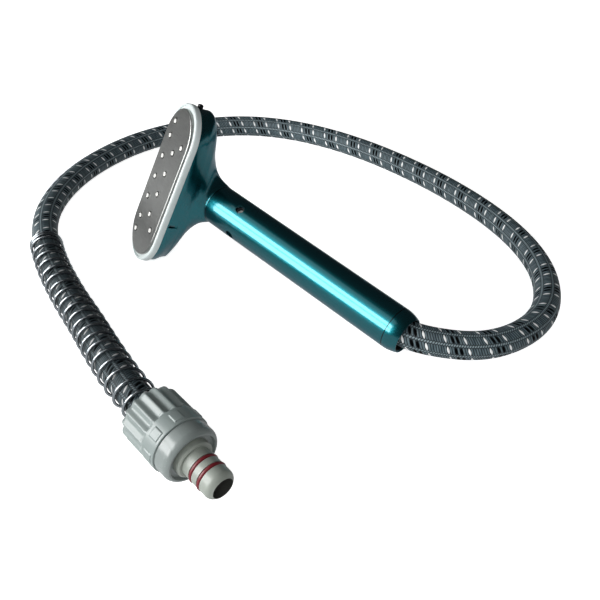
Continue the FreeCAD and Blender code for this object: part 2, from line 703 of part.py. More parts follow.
def make_water_chamber():
    """Open tray with a screwed flange, pegs for the spreader and a socket for the pipe."""
    body = new_body("water_chamber")
    length, width = chamber_reach()
    front = S.plate_skirt + S.face_clearance * 3
    block = new_sketch(body, "XY_Plane", -S.chamber_depth)
    draw_stadium(block, length, width)
    extrude(body, block, S.chamber_depth - front)
    back = S.rim_back + S.face_clearance + S.chamber_flange
    rim = new_sketch(body, "XY_Plane", -back)
    draw_stadium(rim, length + S.chamber_flange_width, width + S.chamber_flange_width * 0.7)
    extrude(body, rim, S.chamber_flange)
    boss = new_sketch(body, "XY_Plane", -(S.chamber_depth + S.socket_length))
    bore = S.pipe_radius + S.slip
    draw_circle(boss, 0.0, socket_place(), bore + S.socket_wall)
    extrude(body, boss, S.socket_length + S.chamber_wall)
    hollow = new_sketch(body, "XY_Plane", -(S.chamber_depth - S.chamber_wall))
    draw_stadium(hollow, length - S.chamber_wall, width - S.chamber_wall)
    extrude(body, hollow, S.chamber_depth, cut=True, backwards=True)
    way = new_sketch(body, "XY_Plane", -(S.chamber_depth + S.socket_length))
    draw_circle(way, 0.0, socket_place(), bore)
    extrude(body, way, S.socket_length, cut=True, backwards=True)
    throat = new_sketch(body, "XY_Plane", -(S.chamber_depth + S.socket_length))
    draw_circle(throat, 0.0, socket_place(), S.pipe_bore_radius)
    extrude(body, throat, S.socket_length + S.chamber_depth, cut=True, backwards=True)
    pegs = new_sketch(body, "XY_Plane", -(S.chamber_depth - S.chamber_wall))
    for along, across in peg_places():
        draw_circle(pegs, along, socket_place() + across, 1.0)
    extrude(body, pegs, S.spreader_rise)
    holes = new_sketch(body, "XY_Plane", -back)
    for along, across in chamber_screw_places():
        draw_circle(holes, along, across, S.chamber_screw_radius + S.slip)
    extrude(body, holes, S.chamber_flange, cut=True, backwards=True)
    return body


def peg_places():
    """Three pegs that carry the flow spreader, as (along, across) from the socket's axis."""
    reach = S.spreader_radius * 0.75
    turns = [math.radians(angle) for angle in (90, 210, 330)]
    return [(reach * math.cos(turn), reach * math.sin(turn)) for turn in turns]


def make_flow_spreader():
    """Disc in front of the pipe's mouth, with six notches round its edge."""
    body = new_body("flow_spreader")
    bottom = S.chamber_depth - S.chamber_wall - S.spreader_rise - S.face_clearance
    disc = new_sketch(body, "XY_Plane", -bottom)
    draw_circle(disc, 0.0, socket_place(), S.spreader_radius)
    extrude(body, disc, S.spreader_thickness)
    notches = new_sketch(body, "XY_Plane", -bottom)
    for turn in range(6):
        angle = math.radians(60 * turn)
        along = S.spreader_radius * math.cos(angle)
        across = socket_place() + S.spreader_radius * math.sin(angle)
        draw_circle(notches, along, across, S.spreader_radius * 0.22)
    extrude(body, notches, S.spreader_thickness, cut=True, backwards=True)
    return body


def screw(head_radius, head_height, shank_radius, shank_length, slot_width, slot_depth):
    """A cross-headed screw: head below Z = 0, shank above it, the cross in the head's outer face."""
    up = Vector(0, 0, 1)
    head = cylinder(head_radius, head_height, Vector(0, 0, -head_height), up)
    low = [edge for edge in head.Edges if edge.BoundBox.ZMax < -head_height + 1e-6]
    head = head.makeFillet(min(head_height, head_radius) * 0.35, low)
    shank = cylinder(shank_radius, shank_length, Vector(0, 0, 0), up)
    shank = shank.makeChamfer(shank_radius * 0.4, [max(shank.Edges, key=lambda e: e.BoundBox.ZMin)])
    span = head_radius * 1.3
    cross = Part.makeBox(span, slot_width, slot_depth, Vector(-span / 2, -slot_width / 2, -head_height))
    other = Part.makeBox(slot_width, span, slot_depth, Vector(-slot_width / 2, -span / 2, -head_height))
    return head.fuse(shank).removeSplitter().cut(cross).cut(other)


def make_chamber_screws():
    """Screws through the chamber's flange into the rim's ledge."""
    grip = S.chamber_flange.number + S.face_clearance.number + S.chamber_screw_grip.number
    head = S.chamber_screw_head.number
    one = screw(head, head * 0.9, S.chamber_screw_radius.number, grip, head * 0.4, head * 0.4)
    back = -(S.rim_back.number + S.face_clearance.number + S.chamber_flange.number)
    copies = []
    for along, across in chamber_screw_places():
        copy = one.copy()
        copy.translate(Vector(along.number, across.number, back))
        copies.append(copy)
    return feature_of("chamber_screws", Part.makeCompound(copies))


def pipe_route():
    """Start, bend start, bend middle, bend end and end of the inlet pipe, in the plate's frame."""
    start = HANDLE_IN_PLATE.multVec(Vector(S.pipe_start.number, 0, 0))
    corner = HANDLE_IN_PLATE.multVec(Vector(S.pipe_corner_station.number, 0, 0))
    mouth = -(S.chamber_depth.number + S.socket_length.number) + S.pipe_entry.number
    end = Vector(0, corner.y, mouth)
    back = (start - corner).normalize()
    ahead = (end - corner).normalize()
    half_turn = 0.5 * (math.pi - back.getAngle(ahead))
    setback = S.pipe_bend_radius.number * math.tan(half_turn)
    bulge = S.pipe_bend_radius.number * (1 / math.cos(half_turn) - 1)
    middle = corner + (back + ahead).normalize() * bulge
    return start, corner + back * setback, middle, corner + ahead * setback, end


def make_inlet_pipe():
    """Bent pipe from the tail fitting up the handle and into the chamber's socket."""
    start, first, middle, last, end = pipe_route()
    path = Part.Wire([
        Part.LineSegment(start, first).toShape(),
        Part.Arc(first, middle, last).toShape(),
        Part.LineSegment(last, end).toShape(),
    ])
    way = (first - start).normalize()
    outer = path.makePipeShell([Part.Wire(Part.makeCircle(S.pipe_radius.number, start, way))], True, False)
    inner = path.makePipeShell(
        [Part.Wire(Part.makeCircle(S.pipe_bore_radius.number, start, way))], True, False
    )
    groove = seal_ring(S.seal_cord_radius.number + S.slip.number, pipe_seal_place())
    return feature_of("inlet_pipe", outer.cut(inner).cut(groove))


def pipe_seal_place():
    """Middle of the seal on the pipe, in the plate's frame."""
    end = pipe_route()[4]
    return end - Vector(0, 0, S.pipe_entry.number * 0.4)


def seal_ring(cord_radius, place):
    """A ring round the pipe's end that reaches the socket's wall."""
    ring_radius = S.pipe_radius.number + S.slip.number * 0.5 - S.seal_cord_radius.number
    return Part.makeTorus(ring_radius, cord_radius, place, Vector(0, 0, 1))


def make_inlet_seal():
    """O-ring in the pipe's groove."""
    return feature_of("inlet_seal", seal_ring(S.seal_cord_radius.number, pipe_seal_place()))


def make_handle_sleeve():
    """Round tube of the handle with four holes over the neck screws."""
    body = new_body("handle_sleeve")
    start = S.cap_length + S.seam_gap
    end = S.neck_station - S.seam_gap
    outer, inner = S.handle_radius, S.handle_radius - S.sleeve_wall
    revolve(body, [(start, inner), (end, inner), (end, outer), (start, outer)])
    hole = new_sketch(body, "XY_Plane", inner - S.slip * 5)
    draw_circle(hole, S.neck_station - S.screw_setback, 0.0, S.screw_recess_radius)
    pocket = extrude(body, hole, S.sleeve_wall * 2, cut=True, backwards=True)
    turn_pattern(body, pocket, Size(4, "4"))
    return body


def core_radius():
    """Outside of the neck core, a slip fit in the sleeve."""
    return S.handle_radius - S.sleeve_wall - S.slip


def make_neck_core():
    """Thick collar that joins the shell to the sleeve and holds the neck screws."""
    body = new_body("neck_core")
    start = S.neck_station - S.core_behind_seam
    end = S.neck_station + S.core_past_seam
    outer, inner = core_radius(), S.core_bore_radius
    revolve(body, [(start, inner), (end, inner), (end, outer), (start, outer)])
    seat = new_sketch(body, "XY_Plane", outer - S.screw_head_sink - S.screw_head_height)
    draw_circle(seat, S.neck_station - S.screw_setback, 0.0, S.screw_head_radius + S.slip)
    pocket = extrude(body, seat, S.sleeve_wall * 2, cut=True, backwards=True)
    turn_pattern(body, pocket, Size(4, "4"))
    pilot = new_sketch(body, "XY_Plane", inner - S.slip * 5)
    draw_circle(pilot, S.neck_station - S.screw_setback, 0.0, S.screw_shank_radius + S.face_clearance)
    hole = extrude(body, pilot, S.handle_radius, cut=True, backwards=True)
    turn_pattern(body, hole, Size(4, "4"))
    return body


def make_neck_screws():
    """Four screws at quarter turns round the neck."""
    one = screw(
        S.screw_head_radius.number, S.screw_head_height.number, S.screw_shank_radius.number,
        S.screw_shank_length.number, S.screw_slot_width.number, S.screw_slot_depth.number,
    )
    seat = core_radius().number - S.screw_head_sink.number - S.screw_head_height.number
    station = S.neck_station.number - S.screw_setback.number
    copies = []
    for quarter in range(4):
        copy = one.copy()
        turn = Rotation(Vector(1, 0, 0), 90 * quarter)
        copy.Placement = Placement(Vector(station, 0, 0), turn) * Placement(
            Vector(0, 0, seat), Rotation(Vector(1, 0, 0), 180)
        )
        copies.append(copy)
    return feature_of("neck_screws", Part.makeCompound(copies))


def make_end_cap():
    """Tapered tail ring with a rounded outline and a plug inside the sleeve."""
    body = new_body("end_cap")
    plug = S.handle_radius - S.sleeve_wall - S.slip
    bore = S.cap_bore_radius
    mouth = S.cap_end_radius - 0.5
    end = S.cap_length + S.cap_plug_length
    revolve(body, [
        (S.cap_lip, bore),
        (end, bore),
        (end, plug),
        (S.cap_length, plug),
        (S.cap_length, S.handle_radius, -S.cap_crown_radius),
        (0.0, S.cap_end_radius),
        (0.0, mouth),
    ])
    return body


def make_hose_gland():
    """Black bush between the end cap and the hose, flared at its mouth so that the hose can bend."""
    body = new_body("hose_gland")
    outer = S.cap_bore_radius - S.slip
    inner = S.hose_radius + S.slip
    start = S.cap_lip + S.face_clearance
    end = start + S.gland_length
    revolve(body, [
        (start, inner + S.gland_flare),
        (start + S.gland_length * 0.75, inner),
        (end, inner),
        (end, outer),
        (start, outer),
    ])
    return body


def make_tail_ferrule():
    """Crimped sleeve on the hose's end in the handle."""
    body = new_body("tail_ferrule")
    start = S.hose_entry - S.ferrule_length + S.cap_lip
    inner = S.hose_radius + S.slip
    outer = inner + S.ferrule_wall
    end = start + S.ferrule_length
    revolve(body, [(start, inner), (end, inner), (end, outer), (start, outer)])
    return body


def barb_profile(root, way):
    """Stations and radii of a barb's ridges, from its root to its tip."""
    count = int(S.barb_length.number // S.barb_pitch.number)
    points = []
    for ridge in range(count):
        start = root + S.barb_pitch * (way * ridge)
        points.append((start, S.barb_radius))
        points.append((start + S.barb_pitch * (way * 0.95), S.barb_root_radius))
    return points, root + S.barb_pitch * (way * count)


def make_tail_barb():
    """Fitting with a barb in the hose's liner, a collar and a socket for the inlet pipe."""
    body = new_body("tail_barb")
    collar = S.hose_entry + S.slip
    ridges, tip = barb_profile(collar, -1)
    socket = S.pipe_radius + S.slip
    end = S.pipe_start + S.pipe_entry
    points = ridges + [(tip, S.barb_root_radius), (tip, S.barb_bore_radius)]
    revolve(body, points + [
        (S.pipe_start - S.slip, S.barb_bore_radius),
        (S.pipe_start - S.slip, socket),
        (end, socket),
        (end, S.barb_collar_radius),
        (collar, S.barb_collar_radius),
    ])
    return body


def make_barb_seal():
    """O-ring between the tail fitting and the pipe, in the fitting's mouth."""
    ring = doc.addObject("Part::Torus", "barb_seal")
    ring.Label = "barb_seal"
    radius = S.pipe_radius + S.slip + S.seal_cord_radius
    ring.setExpression("Radius1", radius.formula)
    ring.setExpression("Radius2", S.seal_cord_radius.formula)
    station = S.pipe_start.number + S.pipe_entry.number + S.seal_cord_radius.number
    return ring, Placement(Vector(station, 0, 0), Rotation(Vector(0, 1, 0), 90))


def make_pipe_bracket():
    """Ring that centres the pipe in the sleeve, with four lightening holes."""
    body = new_body("pipe_bracket")
    start = S.bracket_station - S.bracket_length * 0.5
    end = S.bracket_station + S.bracket_length * 0.5
    inner, outer = S.pipe_radius + S.slip, core_radius()
    revolve(body, [(start, inner), (end, inner), (end, outer), (start, outer)])
    hole = new_sketch(body, "YZ_Plane", start)
    middle = inner * 0.5 + outer * 0.5
    draw_circle(hole, middle, 0.0, S.bracket_hole_radius)
    pocket = extrude(body, hole, S.bracket_length, cut=True, backwards=True)
    turn_pattern(body, pocket, Size(4, "4"))
    return body


def make_lock_nut():
    """Fluted nut: grooves with rounded front ends, a rounded rear shoulder and pads at the front edge."""
    body = new_body("lock_nut")
    rear = -S.nut_length
    front = -S.seam_gap
    hub = S.hub_radius + S.turn_clearance
    cavity = S.nut_cavity_radius
    floor = -(S.seam_gap + S.nut_flange)
    lip = rear + S.sleeve_wall
    shoulder = rear + S.nut_shoulder
    revolve(body, [
        (rear, S.nut_rear_bore),
        (lip, S.nut_rear_bore),
        (lip, cavity),
        (floor, cavity),
        (floor, hub),
        (front, hub),
        (front, S.nut_radius - 0.4),
        (front - 0.4, S.nut_radius),
        (shoulder, S.nut_radius, -S.nut_crown_radius),
        (rear, S.nut_rear_radius),
    ])
    flute = new_sketch(body, "XY_Plane", S.nut_radius - S.nut_flute_depth)
    half = S.nut_flute_width * 0.5
    back, tip = rear - S.nut_shoulder, -S.nut_flute_front
    round_end = -(half * 1.02)
    draw_outline(flute, [(back, -half), (tip - half, -half, round_end), (tip - half, half), (back, half)])
    groove = extrude(body, flute, S.nut_flute_depth * 2, cut=True, backwards=True)
    turn_pattern(body, groove, S.nut_flute_count)
    base = cavity * 0.5 + S.nut_radius * 0.5
    pad = new_sketch(body, "XY_Plane", base)
    half = S.nut_pad_width * 0.5
    back, tip = -S.nut_pad_back, -S.nut_pad_front
    draw_outline(pad, [(back, -half), (tip, -half), (tip, half), (back, half)])
    blocks = extrude(body, pad, S.nut_radius + S.nut_pad_height - base)
    turn_pattern(body, blocks, S.nut_pad_count)
    return body


def make_lock_collar():
    """Smooth ring with a rounded front shoulder, a front recess and the hub that the nut turns on."""
    body = new_body("lock_collar")
    front = S.collar_length
    shoulder = front - S.collar_shoulder
    bore = S.stem_radius + S.face_clearance
    groove_end = -(S.seam_gap + S.nut_flange + S.slip * 3)
    groove_start = groove_end - S.clip_thickness - S.face_clearance * 2
    root = S.hub_radius - S.clip_depth
    revolve(body, [
        (-S.hub_length, bore),
        (S.collar_floor, bore),
        (S.collar_floor, S.collar_recess_radius - 0.5),
        (front, S.collar_recess_radius),
        (front, S.collar_front_radius, -S.collar_crown_radius),
        (shoulder, S.collar_radius),
        (S.seam_gap, S.collar_radius),
        (0.0, S.collar_radius - 0.4),
        (0.0, S.hub_radius),
        (groove_end, S.hub_radius),
        (groove_end, root),
        (groove_start, root),
        (groove_start, S.hub_radius),
        (-S.hub_length, S.hub_radius),
    ])
    return body


def make_retaining_clip():
    """Open ring in the hub's groove that keeps the nut on."""
    inner = S.hub_radius.number - S.clip_depth.number + S.face_clearance.number
    thickness = S.clip_thickness.number
    station = -(S.seam_gap.number + S.nut_flange.number + 3 * S.slip.number)
    station -= thickness + S.face_clearance.number
    along = Vector(1, 0, 0)
    turn = 360 - S.clip_opening.number
    place = Vector(station, 0, 0)
    ring = Part.makeCylinder(S.clip_radius.number, thickness, place, along, turn)
    return feature_of("retaining_clip", ring.cut(Part.makeCylinder(inner, thickness, place, along, 360)))


def make_spigot():
    """Spigot: barb for the hose, stem in the collar, base flange, two ring grooves and a rounded tip."""
    body = new_body("spigot")
    stem_rear = -S.hub_length
    ridges, tip = barb_profile(-S.hose_stop + S.slip, -1)
    flange_rear = S.collar_floor + S.face_clearance
    floor = S.spigot_radius + S.ring_proud - S.ring_cord_radius * 2
    half = S.ring_groove_width * 0.5
    outline = [
        (S.spigot_tip, S.spigot_bore_radius),
        (stem_rear + 4.0, S.spigot_bore_radius),
        (stem_rear, S.barb_bore_radius),
        (tip, S.barb_bore_radius),
        (tip, S.barb_root_radius),
    ]
    outline += list(reversed(ridges))
    outline += [
        (stem_rear, S.barb_radius),
        (stem_rear, S.stem_radius),
        (flange_rear, S.stem_radius),
        (flange_rear, S.flange_radius),
        (S.flange_front - 0.8, S.flange_radius),
        (S.flange_front, S.flange_radius - 0.8),
        (S.flange_front, S.spigot_radius),
    ]
    for station in (S.ring_rear, S.ring_front):
        outline += [
            (station - half, S.spigot_radius),
            (station - half, floor),
            (station + half, floor),
            (station + half, S.spigot_radius),
        ]
    outline += [
        (S.spigot_tip - S.spigot_tip_round, S.spigot_radius, S.spigot_crown_radius),
        (S.spigot_tip - 0.6, S.spigot_tip_radius),
        (S.spigot_tip, S.spigot_tip_radius - 0.6),
    ]
    revolve(body, outline)
    return body


def make_spigot_o_rings():
    """The two sealing rings of the spigot, one group."""
    radius = S.spigot_radius.number + S.ring_proud.number - S.ring_cord_radius.number
    rings = []
    for station in (S.ring_rear.number, S.ring_front.number):
        place = Vector(station, 0, 0)
        rings.append(Part.makeTorus(radius, S.ring_cord_radius.number, place, Vector(1, 0, 0)))
    return feature_of("spigot_o_rings", Part.makeCompound(rings))


def make_connector_ferrule():
    """Crimped sleeve on the hose's end inside the nut."""
    body = new_body("connector_ferrule")
    inner = S.hose_radius + S.slip
    outer = inner + S.ferrule_wall
    start = -S.cup_station + S.slip * 3
    end = -S.hose_stop
    revolve(body, [(start, inner), (end, inner), (end, outer), (start, outer)])
    return body


def make_spring_cup():
    """Flanged ring on the hose that the spring's end seats on."""
    body = new_body("spring_cup")
    inner = S.hose_radius + S.slip
    end = -S.cup_station
    start = end - S.cup_thickness
    revolve(body, [(start, inner), (end, inner), (end, S.cup_radius), (start, S.cup_radius)])
    return body


def connector_frame(tail):
    """Placement of the connector: its seam's place from the tail end, and its lie on the ground."""
    turn = Rotation(Vector(0, 0, 1), S.connector_heading.number)
    turn = turn * Rotation(Vector(0, 1, 0), S.connector_droop.number)
    droop = math.radians(S.connector_droop.number)
    pad_face = S.nut_radius.number + S.nut_pad_height.number
    height = pad_face * math.cos(droop) - S.nut_pad_front.number * math.sin(droop)
    return Placement(Vector(tail.x + S.connector_x.number, tail.y + S.connector_y.number, height), turn)


def hose_corners(handle, tail, connector):
    """The route's corners, from the hose's end in the handle to its end in the connector."""
    start = handle.multVec(Vector(S.hose_entry.number, 0, 0))
    first = handle.multVec(Vector(TAIL_CORNER, 0, 0))
    last = connector.multVec(Vector(-CONNECTOR_CORNER, 0, 0))
    end = connector.multVec(Vector(-S.hose_stop.number, 0, 0))
    middle = [Vector(tail.x + x, tail.y + y, z) for x, y, z in ROUTE]
    return [start, first] + middle + [last, end]


def hose_path(corners):
    """Straight runs joined by tangent arcs, and the arcs' radii."""
    edges, radii = [], []
    here = corners[0]
    for before, corner, after in zip(corners, corners[1:], corners[2:]):
        back, ahead = before - corner, after - corner
        setback = ROUTE_SHARE * min(back.Length, ahead.Length)
        back.normalize()
        ahead.normalize()
        half_turn = 0.5 * (math.pi - back.getAngle(ahead))
        radius = setback / math.tan(half_turn)
        middle = corner + (back + ahead).normalize() * (radius * (1 / math.cos(half_turn) - 1))
        enter, leave = corner + back * setback, corner + ahead * setback
        edges.append(Part.LineSegment(here, enter).toShape())
        edges.append(Part.Arc(enter, middle, leave).toShape())
        radii.append(radius)
        here = leave
    edges.append(Part.LineSegment(here, corners[-1]).toShape())
    return Part.Wire(edges), radii


def tube_along(path, start, way, outer, inner):
    """A tube of two radii along a path; prints its volume against section times length."""
    solids = []
    for radius in (outer, inner):
        ring = Part.Wire(Part.makeCircle(radius, start, way))
        solids.append(path.makePipeShell([ring], True, False))
    tube = solids[0].cut(solids[1])
    section = math.pi * (outer ** 2 - inner ** 2)
    print("tube radius %.2f: volume %.0f, section times length %.0f" % (outer, tube.Volume, section * path.Length))
    return tube


def point_along(path, distance):
    """The point and direction at a distance along a wire of runs and arcs."""
    for edge in path.OrderedEdges:
        if distance <= edge.Length or edge is path.OrderedEdges[-1]:
            break
        distance -= edge.Length
    spot = edge.getParameterByLength(min(max(distance, 0.0), edge.Length))
    return edge.valueAt(spot), edge.tangentAt(spot)


def spring_point(path, start, turns_at, turn):
    """A point of the coil: the wire's centre after a number of turns."""
    middle, way = point_along(path, start + turns_at(turn))
    side = way.cross(Vector(0, 0, 1)).normalize()
    up = side.cross(way)
    angle = 2 * math.pi * turn
    radius = S.spring_radius.number
    return middle + side * (radius * math.cos(angle)) + up * (radius * math.sin(angle))


def biarc(first, first_way, second, second_way):
    """Two tangent arcs between two points with given directions."""
    gap = second - first
    ways = first_way + second_way
    a = 2 * (1 - first_way.dot(second_way))
    b = 2 * gap.dot(ways)
    c = -gap.dot(gap)
    reach = (-b + math.sqrt(b * b - 4 * a * c)) / (2 * a)
    joint = (first + second + (first_way - second_way) * reach) * 0.5
    edges = []
    for start, way, end in ((first, first_way, joint), (second, second_way * -1, joint)):
        chord = end - start
        angle = way.getAngle(chord)
        normal = (way - chord * (way.dot(chord) / chord.dot(chord))).normalize()
        middle = start + chord * 0.5 + normal * (0.5 * chord.Length * math.tan(angle / 2))
        edges.append((start, middle, end))
    head, tail = edges
    return [Part.Arc(*head).toShape(), Part.Arc(tail[2], tail[1], tail[0]).toShape()]


def make_strain_spring(path):
    """Open coil over the hose's last stretch, close-wound for its first turns."""
    close, opened = S.spring_close_turns.number, S.spring_open_turns.number
    close_pitch = S.spring_close_pitch.number
    open_pitch = (S.spring_length.number - close * close_pitch) / opened
    cup = S.cup_station.number + S.cup_thickness.number - S.hose_stop.number
    end = path.Length - cup - S.spring_wire_radius.number - S.slip.number
    start = end - S.spring_length.number

    def turns_at(turn):
        return close_pitch * min(turn, close) + open_pitch * max(turn - close, 0.0)

    steps = int(4 * (close + opened))
    step = 0.001
    nodes = []
    for index in range(steps + 1):
        turn = index / 4.0
        place = spring_point(path, start, turns_at, turn)
        ahead = spring_point(path, start, turns_at, turn + step)
        behind = spring_point(path, start, turns_at, turn - step)
        nodes.append((place, (ahead - behind).normalize()))
    edges = []
    for (first, first_way), (second, second_way) in zip(nodes, nodes[1:]):
        edges += biarc(first, first_way, second, second_way)
    wire = Part.Wire(edges)
    profile = Part.Wire(Part.makeCircle(S.spring_wire_radius.number, nodes[0][0], nodes[0][1]))
    coil = wire.makePipeShell([profile], True, False)
    print_spring_gap(path, start, turns_at, close + opened)
    return feature_of("strain_spring", coil)


def print_spring_gap(path, start, turns_at, turns):
    """Print the least gap between neighbouring turns and between the coil and the hose."""
    samples = 24
    points = [spring_point(path, start, turns_at, index / samples) for index in range(int(turns * samples))]
    gaps = [
        (points[i] - points[j]).Length
        for i in range(len(points))
        for j in range(i + samples // 2, min(i + 2 * samples, len(points)))
    ]
    wire = 2 * S.spring_wire_radius.number
    print("spring: least gap to itself %.2f" % (min(gaps) - wire))


def lowest_and_middle(pieces):
    """Centre in plan and lowest height of pieces, from the points of their fine meshes."""
    xs, ys, zs = [], [], []
    for shape in pieces:
        for point in shape.tessellate(0.02)[0]:
            xs.append(point.x)
            ys.append(point.y)
            zs.append(point.z)
    return Vector((min(xs) + max(xs)) / 2, (min(ys) + max(ys)) / 2, min(zs))


def placed(shape, placement):
    """A copy of a shape at a placement, in front of the one it has."""
    copy = shape.copy()
    copy.Placement = placement * copy.Placement
    return copy


def build():
    """Make every piece, put it in its place and return the pieces."""
    head = [
        make_face_plate(), make_nozzle_mat(), make_rim_bumper(), make_head_shell(), make_catch_stud(),
        make_water_chamber(), make_flow_spreader(), make_chamber_screws(), make_inlet_pipe(), make_inlet_seal(),
    ]
    barb_seal, seal_place = make_barb_seal()
    handle = [
        make_handle_sleeve(), make_neck_core(), make_neck_screws(), make_end_cap(), make_hose_gland(),
        make_tail_ferrule(), make_tail_barb(), make_pipe_bracket(),
    ]
    connector = [
        make_lock_nut(), make_lock_collar(), make_retaining_clip(), make_spigot(), make_spigot_o_rings(),
        make_connector_ferrule(), make_spring_cup(),
    ]
    doc.recompute()
    turned = Placement(Vector(), HANDLE_TURN)
    quarter = Placement(Vector(), Rotation(Vector(1, 0, 0), 45))
    rest = lowest_and_middle(
        [placed(piece.Shape, turned * PLATE_IN_HANDLE) for piece in head]
        + [placed(piece.Shape, turned) for piece in handle]
    )
    on_ground = Placement(Vector(-rest.x, -rest.y, -rest.z), HANDLE_TURN)
    for piece in head:
        piece.Placement = on_ground * PLATE_IN_HANDLE
    for piece in handle:
        piece.Placement = on_ground * quarter
    barb_seal.Placement = on_ground * seal_place
    tail = on_ground.multVec(Vector(0, 0, 0))
    frame = connector_frame(tail)
    for piece in connector:
        piece.Placement = frame
    corners = hose_corners(on_ground, tail, frame)
    path, radii = hose_path(corners)
    way = (corners[1] - corners[0]).normalize()
    bore_wall = S.hose_radius.number - S.braid_wall.number
    braid = tube_along(path, corners[0], way, S.hose_radius.number, bore_wall)
    liner = tube_along(path, corners[0], way, S.liner_radius.number, S.liner_bore_radius.number)
    cord = [feature_of("hose_braid", braid), feature_of("hose_liner", liner), make_strain_spring(path)]
    doc.recompute()
    print("tail end at %.2f %.2f %.2f" % tuple(tail))
    print("connector seam at %.3f %.3f %.3f" % tuple(frame.Base))
    print("connector axis %.5f %.5f %.5f" % tuple(frame.Rotation.multVec(Vector(1, 0, 0))))
    print("hose length %.1f, tightest arcs %s" % (path.Length, ["%.0f" % r for r in radii]))
    return head + handle + [barb_seal] + connector + cord


def check(pieces):
    """Stop if any object failed or any piece is empty or not a valid solid."""
    failed = [item.Label for item in doc.Objects if "Invalid" in item.State or "Error" in item.State]
    if failed:
        raise RuntimeError("did not build: %s" % ", ".join(failed))
    for piece in pieces:
        shape = piece.Shape
        if shape.isNull() or not shape.isValid() or not shape.Solids:
            raise RuntimeError("%s has no valid solid" % piece.Label)
        print("%-18s solids %d volume %9.1f" % (piece.Label, len(shape.Solids), shape.Volume))


def export(pieces):
    """Write one file for each piece."""
    os.makedirs("parts", exist_ok=True)
    for piece in pieces:
        piece.Shape.exportStep(os.path.join("parts", piece.Label + ".step"))


all_pieces = build()
check(all_pieces)
export(all_pieces)
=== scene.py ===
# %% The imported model
import json
import math

import bmesh
import bpy
import numpy as np
from mathutils import Matrix, Vector


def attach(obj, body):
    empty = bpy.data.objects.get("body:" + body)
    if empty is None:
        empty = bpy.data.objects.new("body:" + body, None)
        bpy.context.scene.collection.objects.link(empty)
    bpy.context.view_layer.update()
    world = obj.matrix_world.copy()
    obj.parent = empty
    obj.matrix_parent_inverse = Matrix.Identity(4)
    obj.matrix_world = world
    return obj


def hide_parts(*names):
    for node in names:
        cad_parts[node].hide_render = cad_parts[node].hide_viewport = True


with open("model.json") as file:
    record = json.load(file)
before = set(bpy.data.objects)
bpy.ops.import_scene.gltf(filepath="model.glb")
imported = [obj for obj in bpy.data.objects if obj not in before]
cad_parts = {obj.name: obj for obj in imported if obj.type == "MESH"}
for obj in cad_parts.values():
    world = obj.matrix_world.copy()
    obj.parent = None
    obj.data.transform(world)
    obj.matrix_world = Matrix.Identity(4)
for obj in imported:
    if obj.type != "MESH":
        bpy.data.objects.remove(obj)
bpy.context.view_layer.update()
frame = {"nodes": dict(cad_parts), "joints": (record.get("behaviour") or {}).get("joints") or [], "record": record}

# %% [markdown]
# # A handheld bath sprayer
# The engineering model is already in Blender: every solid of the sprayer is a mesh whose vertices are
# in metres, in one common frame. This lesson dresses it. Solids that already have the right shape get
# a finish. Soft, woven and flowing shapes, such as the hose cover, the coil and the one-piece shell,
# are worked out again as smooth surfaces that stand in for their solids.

MM = 0.001
nodes = frame["nodes"]

# %% [markdown]
# ## Where things are
# The record states the sprayer's interfaces: the grip's axis, the spray face and the connector's
# turning axis. Two local frames follow from them, so nothing here repeats a measured direction.


# %% Local frames
def unit(vector):
    """A vector divided by its own length."""
    vector = np.array(vector, dtype=float)
    return vector / np.linalg.norm(vector)


mounts = {mount["name"]: mount for mount in frame["record"]["mounts"]}
turn = frame["joints"][0]
GRIP_STATION = 97 * MM

handle_axis = unit(mounts["grip"]["axis"])
face_normal = unit(mounts["spray_face"]["axis"])
head_long = unit(np.cross(handle_axis, face_normal))
face_across = np.cross(face_normal, head_long)
tail_end = np.array(mounts["grip"]["pos_m"]) - handle_axis * GRIP_STATION
face_centre = np.array(mounts["spray_face"]["pos_m"])
seam = np.array(turn["pos_m"])
outward = unit(turn["axis"])


def placed(points, origin, axes):
    """Local points in millimetres, put in the row frame: origin + x a + y b + z c."""
    return origin + (np.asarray(points, dtype=float) * MM) @ np.array(axes)


PLATE = (face_centre, (head_long, face_across, face_normal))
HANDLE = (tail_end, (handle_axis, np.cross(head_long, handle_axis), head_long))
side = unit(np.cross((0, 0, 1), outward))
CONNECTOR = (seam, (outward, side, np.cross(outward, side)))
print("tail end", tail_end.round(4), "seam", seam.round(4))

# %% [markdown]
# ## The camera
# A product photograph of this kind is taken from a raised tripod with a normal lens. The camera looks
# down at 34 degrees and leans by a few degrees, which shows in the way the vertical edges lean.

# %% Camera
CAMERA_PLACE = Vector((0.3476, -0.3647, 0.3369))
CAMERA_DOWN = math.radians(34.0)
CAMERA_LEFT = math.radians(39.93)
CAMERA_LEAN = math.radians(3.33)
CAMERA_LENS = 48.27

sin_left, cos_left = math.sin(CAMERA_LEFT), math.cos(CAMERA_LEFT)
sin_down, cos_down = math.sin(CAMERA_DOWN), math.cos(CAMERA_DOWN)
level_right = Vector((cos_left, sin_left, 0.0))
level_up = Vector((-sin_left * sin_down, cos_left * sin_down, cos_down))
right = level_right * math.cos(CAMERA_LEAN) + level_up * math.sin(CAMERA_LEAN)
up = level_up * math.cos(CAMERA_LEAN) - level_right * math.sin(CAMERA_LEAN)

camera = bpy.data.objects.new("camera", bpy.data.cameras.new("camera"))
camera.data.lens = CAMERA_LENS
camera.data.sensor_width = 36.0
camera.matrix_world = Matrix((right, up, right.cross(up))).transposed().to_4x4()
camera.location = CAMERA_PLACE
bpy.context.scene.collection.objects.link(camera)
bpy.context.scene.camera = camera
print("camera at", [round(value, 3) for value in CAMERA_PLACE])

